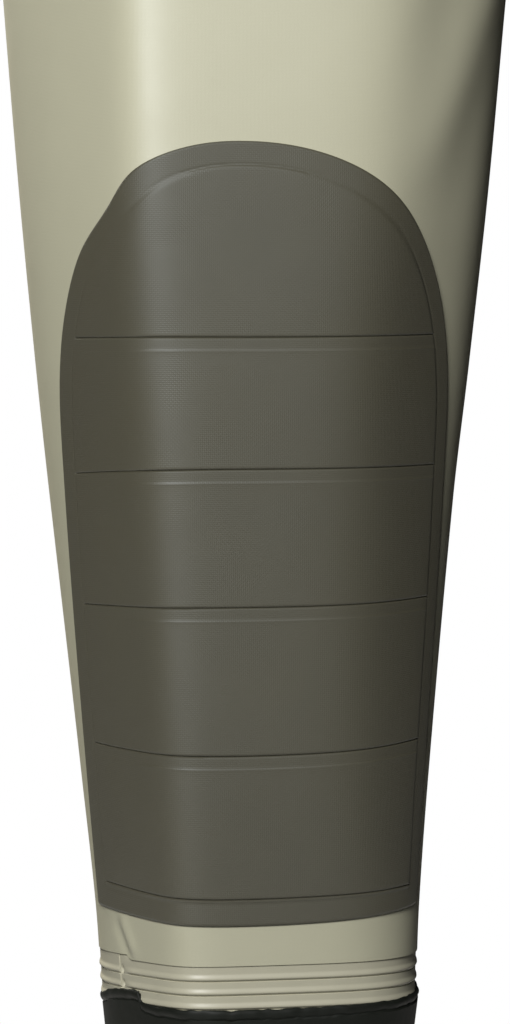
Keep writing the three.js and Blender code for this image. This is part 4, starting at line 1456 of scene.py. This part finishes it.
@dataclass
class Studio:
    """Camera, floor and soft light."""

    azimuth: float = 3.0
    axis_y: float = -0.034
    distance: float = 1.9
    eye: float = 0.58
    pitch: float = 1.79
    lens: float = 159.6
    sensor: float = 36.0
    floor_size: float = 1.9
    ambient: float = 0.012
    warm: Colour = (1.0, 0.95, 0.88)

    def build_camera(self) -> None:
        """The camera at the photograph's viewing angle."""
        turn, tip = math.radians(self.azimuth), math.radians(self.pitch)
        away = Vector((math.sin(turn), -math.cos(turn), 0))
        data = bpy.data.cameras.new("camera")
        data.lens, data.sensor_width, data.sensor_fit = self.lens, self.sensor, "AUTO"
        camera = bpy.data.objects.new("camera", data)
        bpy.context.scene.collection.objects.link(camera)
        camera.location = Vector((0, self.axis_y, self.eye)) + away * self.distance
        look = -away * math.cos(tip) - Vector((0, 0, math.sin(tip)))
        camera.rotation_euler = look.to_track_quat("-Z", "Y").to_euler()
        bpy.context.scene.camera = camera

    def add_light(self, name: str, azimuth: float, elevation: float, distance: float,
                  size: tuple[float, float], power: float, target: Vector,
                  colour: Colour = (1.0, 1.0, 1.0)) -> None:
        """A soft panel of light that faces a target.

        Args:
            name: Name of the lamp.
            azimuth: Degrees from the front towards the inner side.
            elevation: Degrees above level.
            distance: Distance from the target.
            size: Width and height of the panel.
            power: Watts.
            target: What it faces.
            colour: Tint of the light.
        """
        data = bpy.data.lights.new(name, "AREA")
        data.shape, data.size, data.size_y, data.energy = "RECTANGLE", size[0], size[1], power
        data.color = colour
        lamp = bpy.data.objects.new(name, data)
        bpy.context.scene.collection.objects.link(lamp)
        turn, up = math.radians(azimuth), math.radians(elevation)
        back = Vector((math.sin(turn) * math.cos(up), -math.cos(turn) * math.cos(up), math.sin(up)))
        lamp.location = target + back * distance
        lamp.rotation_euler = (-back).to_track_quat("-Z", "Y").to_euler()

    def build_world(self) -> None:
        """A white surround that gives only a little light."""
        world = bpy.data.worlds.new("surround")
        bpy.context.scene.world = world
        world.use_nodes = True
        world.node_tree.nodes.clear()
        g = Graph(world.node_tree)
        seen = g.add("LightPath").outputs["Is Camera Ray"]
        strength = g.ramp(seen, 0.0, 1.0, self.ambient, 1.0)
        sky = g.add("Background", {"Color": (1, 1, 1, 1), "Strength": strength})
        g.add("OutputWorld", {"Surface": sky.outputs[0]})

    def build_floor(self) -> None:
        """A pale floor."""
        body = bmesh.new()
        bmesh.ops.create_circle(body, segments=96, radius=self.floor_size, cap_ends=True)
        mesh = bpy.data.meshes.new("floor")
        body.to_mesh(mesh)
        body.free()
        floor = bpy.data.objects.new("floor", mesh)
        bpy.context.scene.collection.objects.link(floor)
        material, g, shader = new_material("floor_paint")
        place = g.add("TexCoord").outputs["Object"]
        away = g.add("VectorMath", {0: place}, operation="LENGTH").outputs["Value"]
        fade = g.ramp(away, 0.55 * self.floor_size, self.floor_size, 1.0, 0.0)
        g.feed(shader, {"Base Color": (0.8, 0.8, 0.79, 1), "Roughness": 0.7, "Alpha": fade})
        floor.data.materials.append(material)
        floor.visible_diffuse = False
        floor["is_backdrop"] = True

    def build(self) -> None:
        """Builds the studio."""
        self.build_camera()
        self.build_world()
        self.build_floor()
        middle = Vector((0, self.axis_y, 0.56))
        self.add_light("key", -8, 25, 1.7, (0.55, 0.7), 33, middle)
        high = Vector((0, self.axis_y, 0.74))
        self.add_light("outer_rim", -138, 36, 1.25, (0.5, 0.6), 29, high, self.warm)
        bpy.context.scene.view_settings.view_transform = "Standard"


def main() -> None:
    """Builds the studio and every piece, and reports each piece."""
    logging.basicConfig(level=logging.INFO, format="%(name)s: %(message)s")
    form = LegForm()
    foot = FootForm(form)
    leg = Leg(form)
    for part in (Studio(), leg, KneePad(leg), Collar(leg), Boot(foot), Outsole(foot)):
        part.build()
        LOG.info("built %s", type(part).__name__)
    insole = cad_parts["insole"]
    insole.data.materials.clear()
    insole.data.materials.append(INSOLE_FELT.material())
    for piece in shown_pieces():
        LOG.info("%s: %d faces", piece.name, len(piece.data.polygons))


if __name__ == "__main__":
    main()
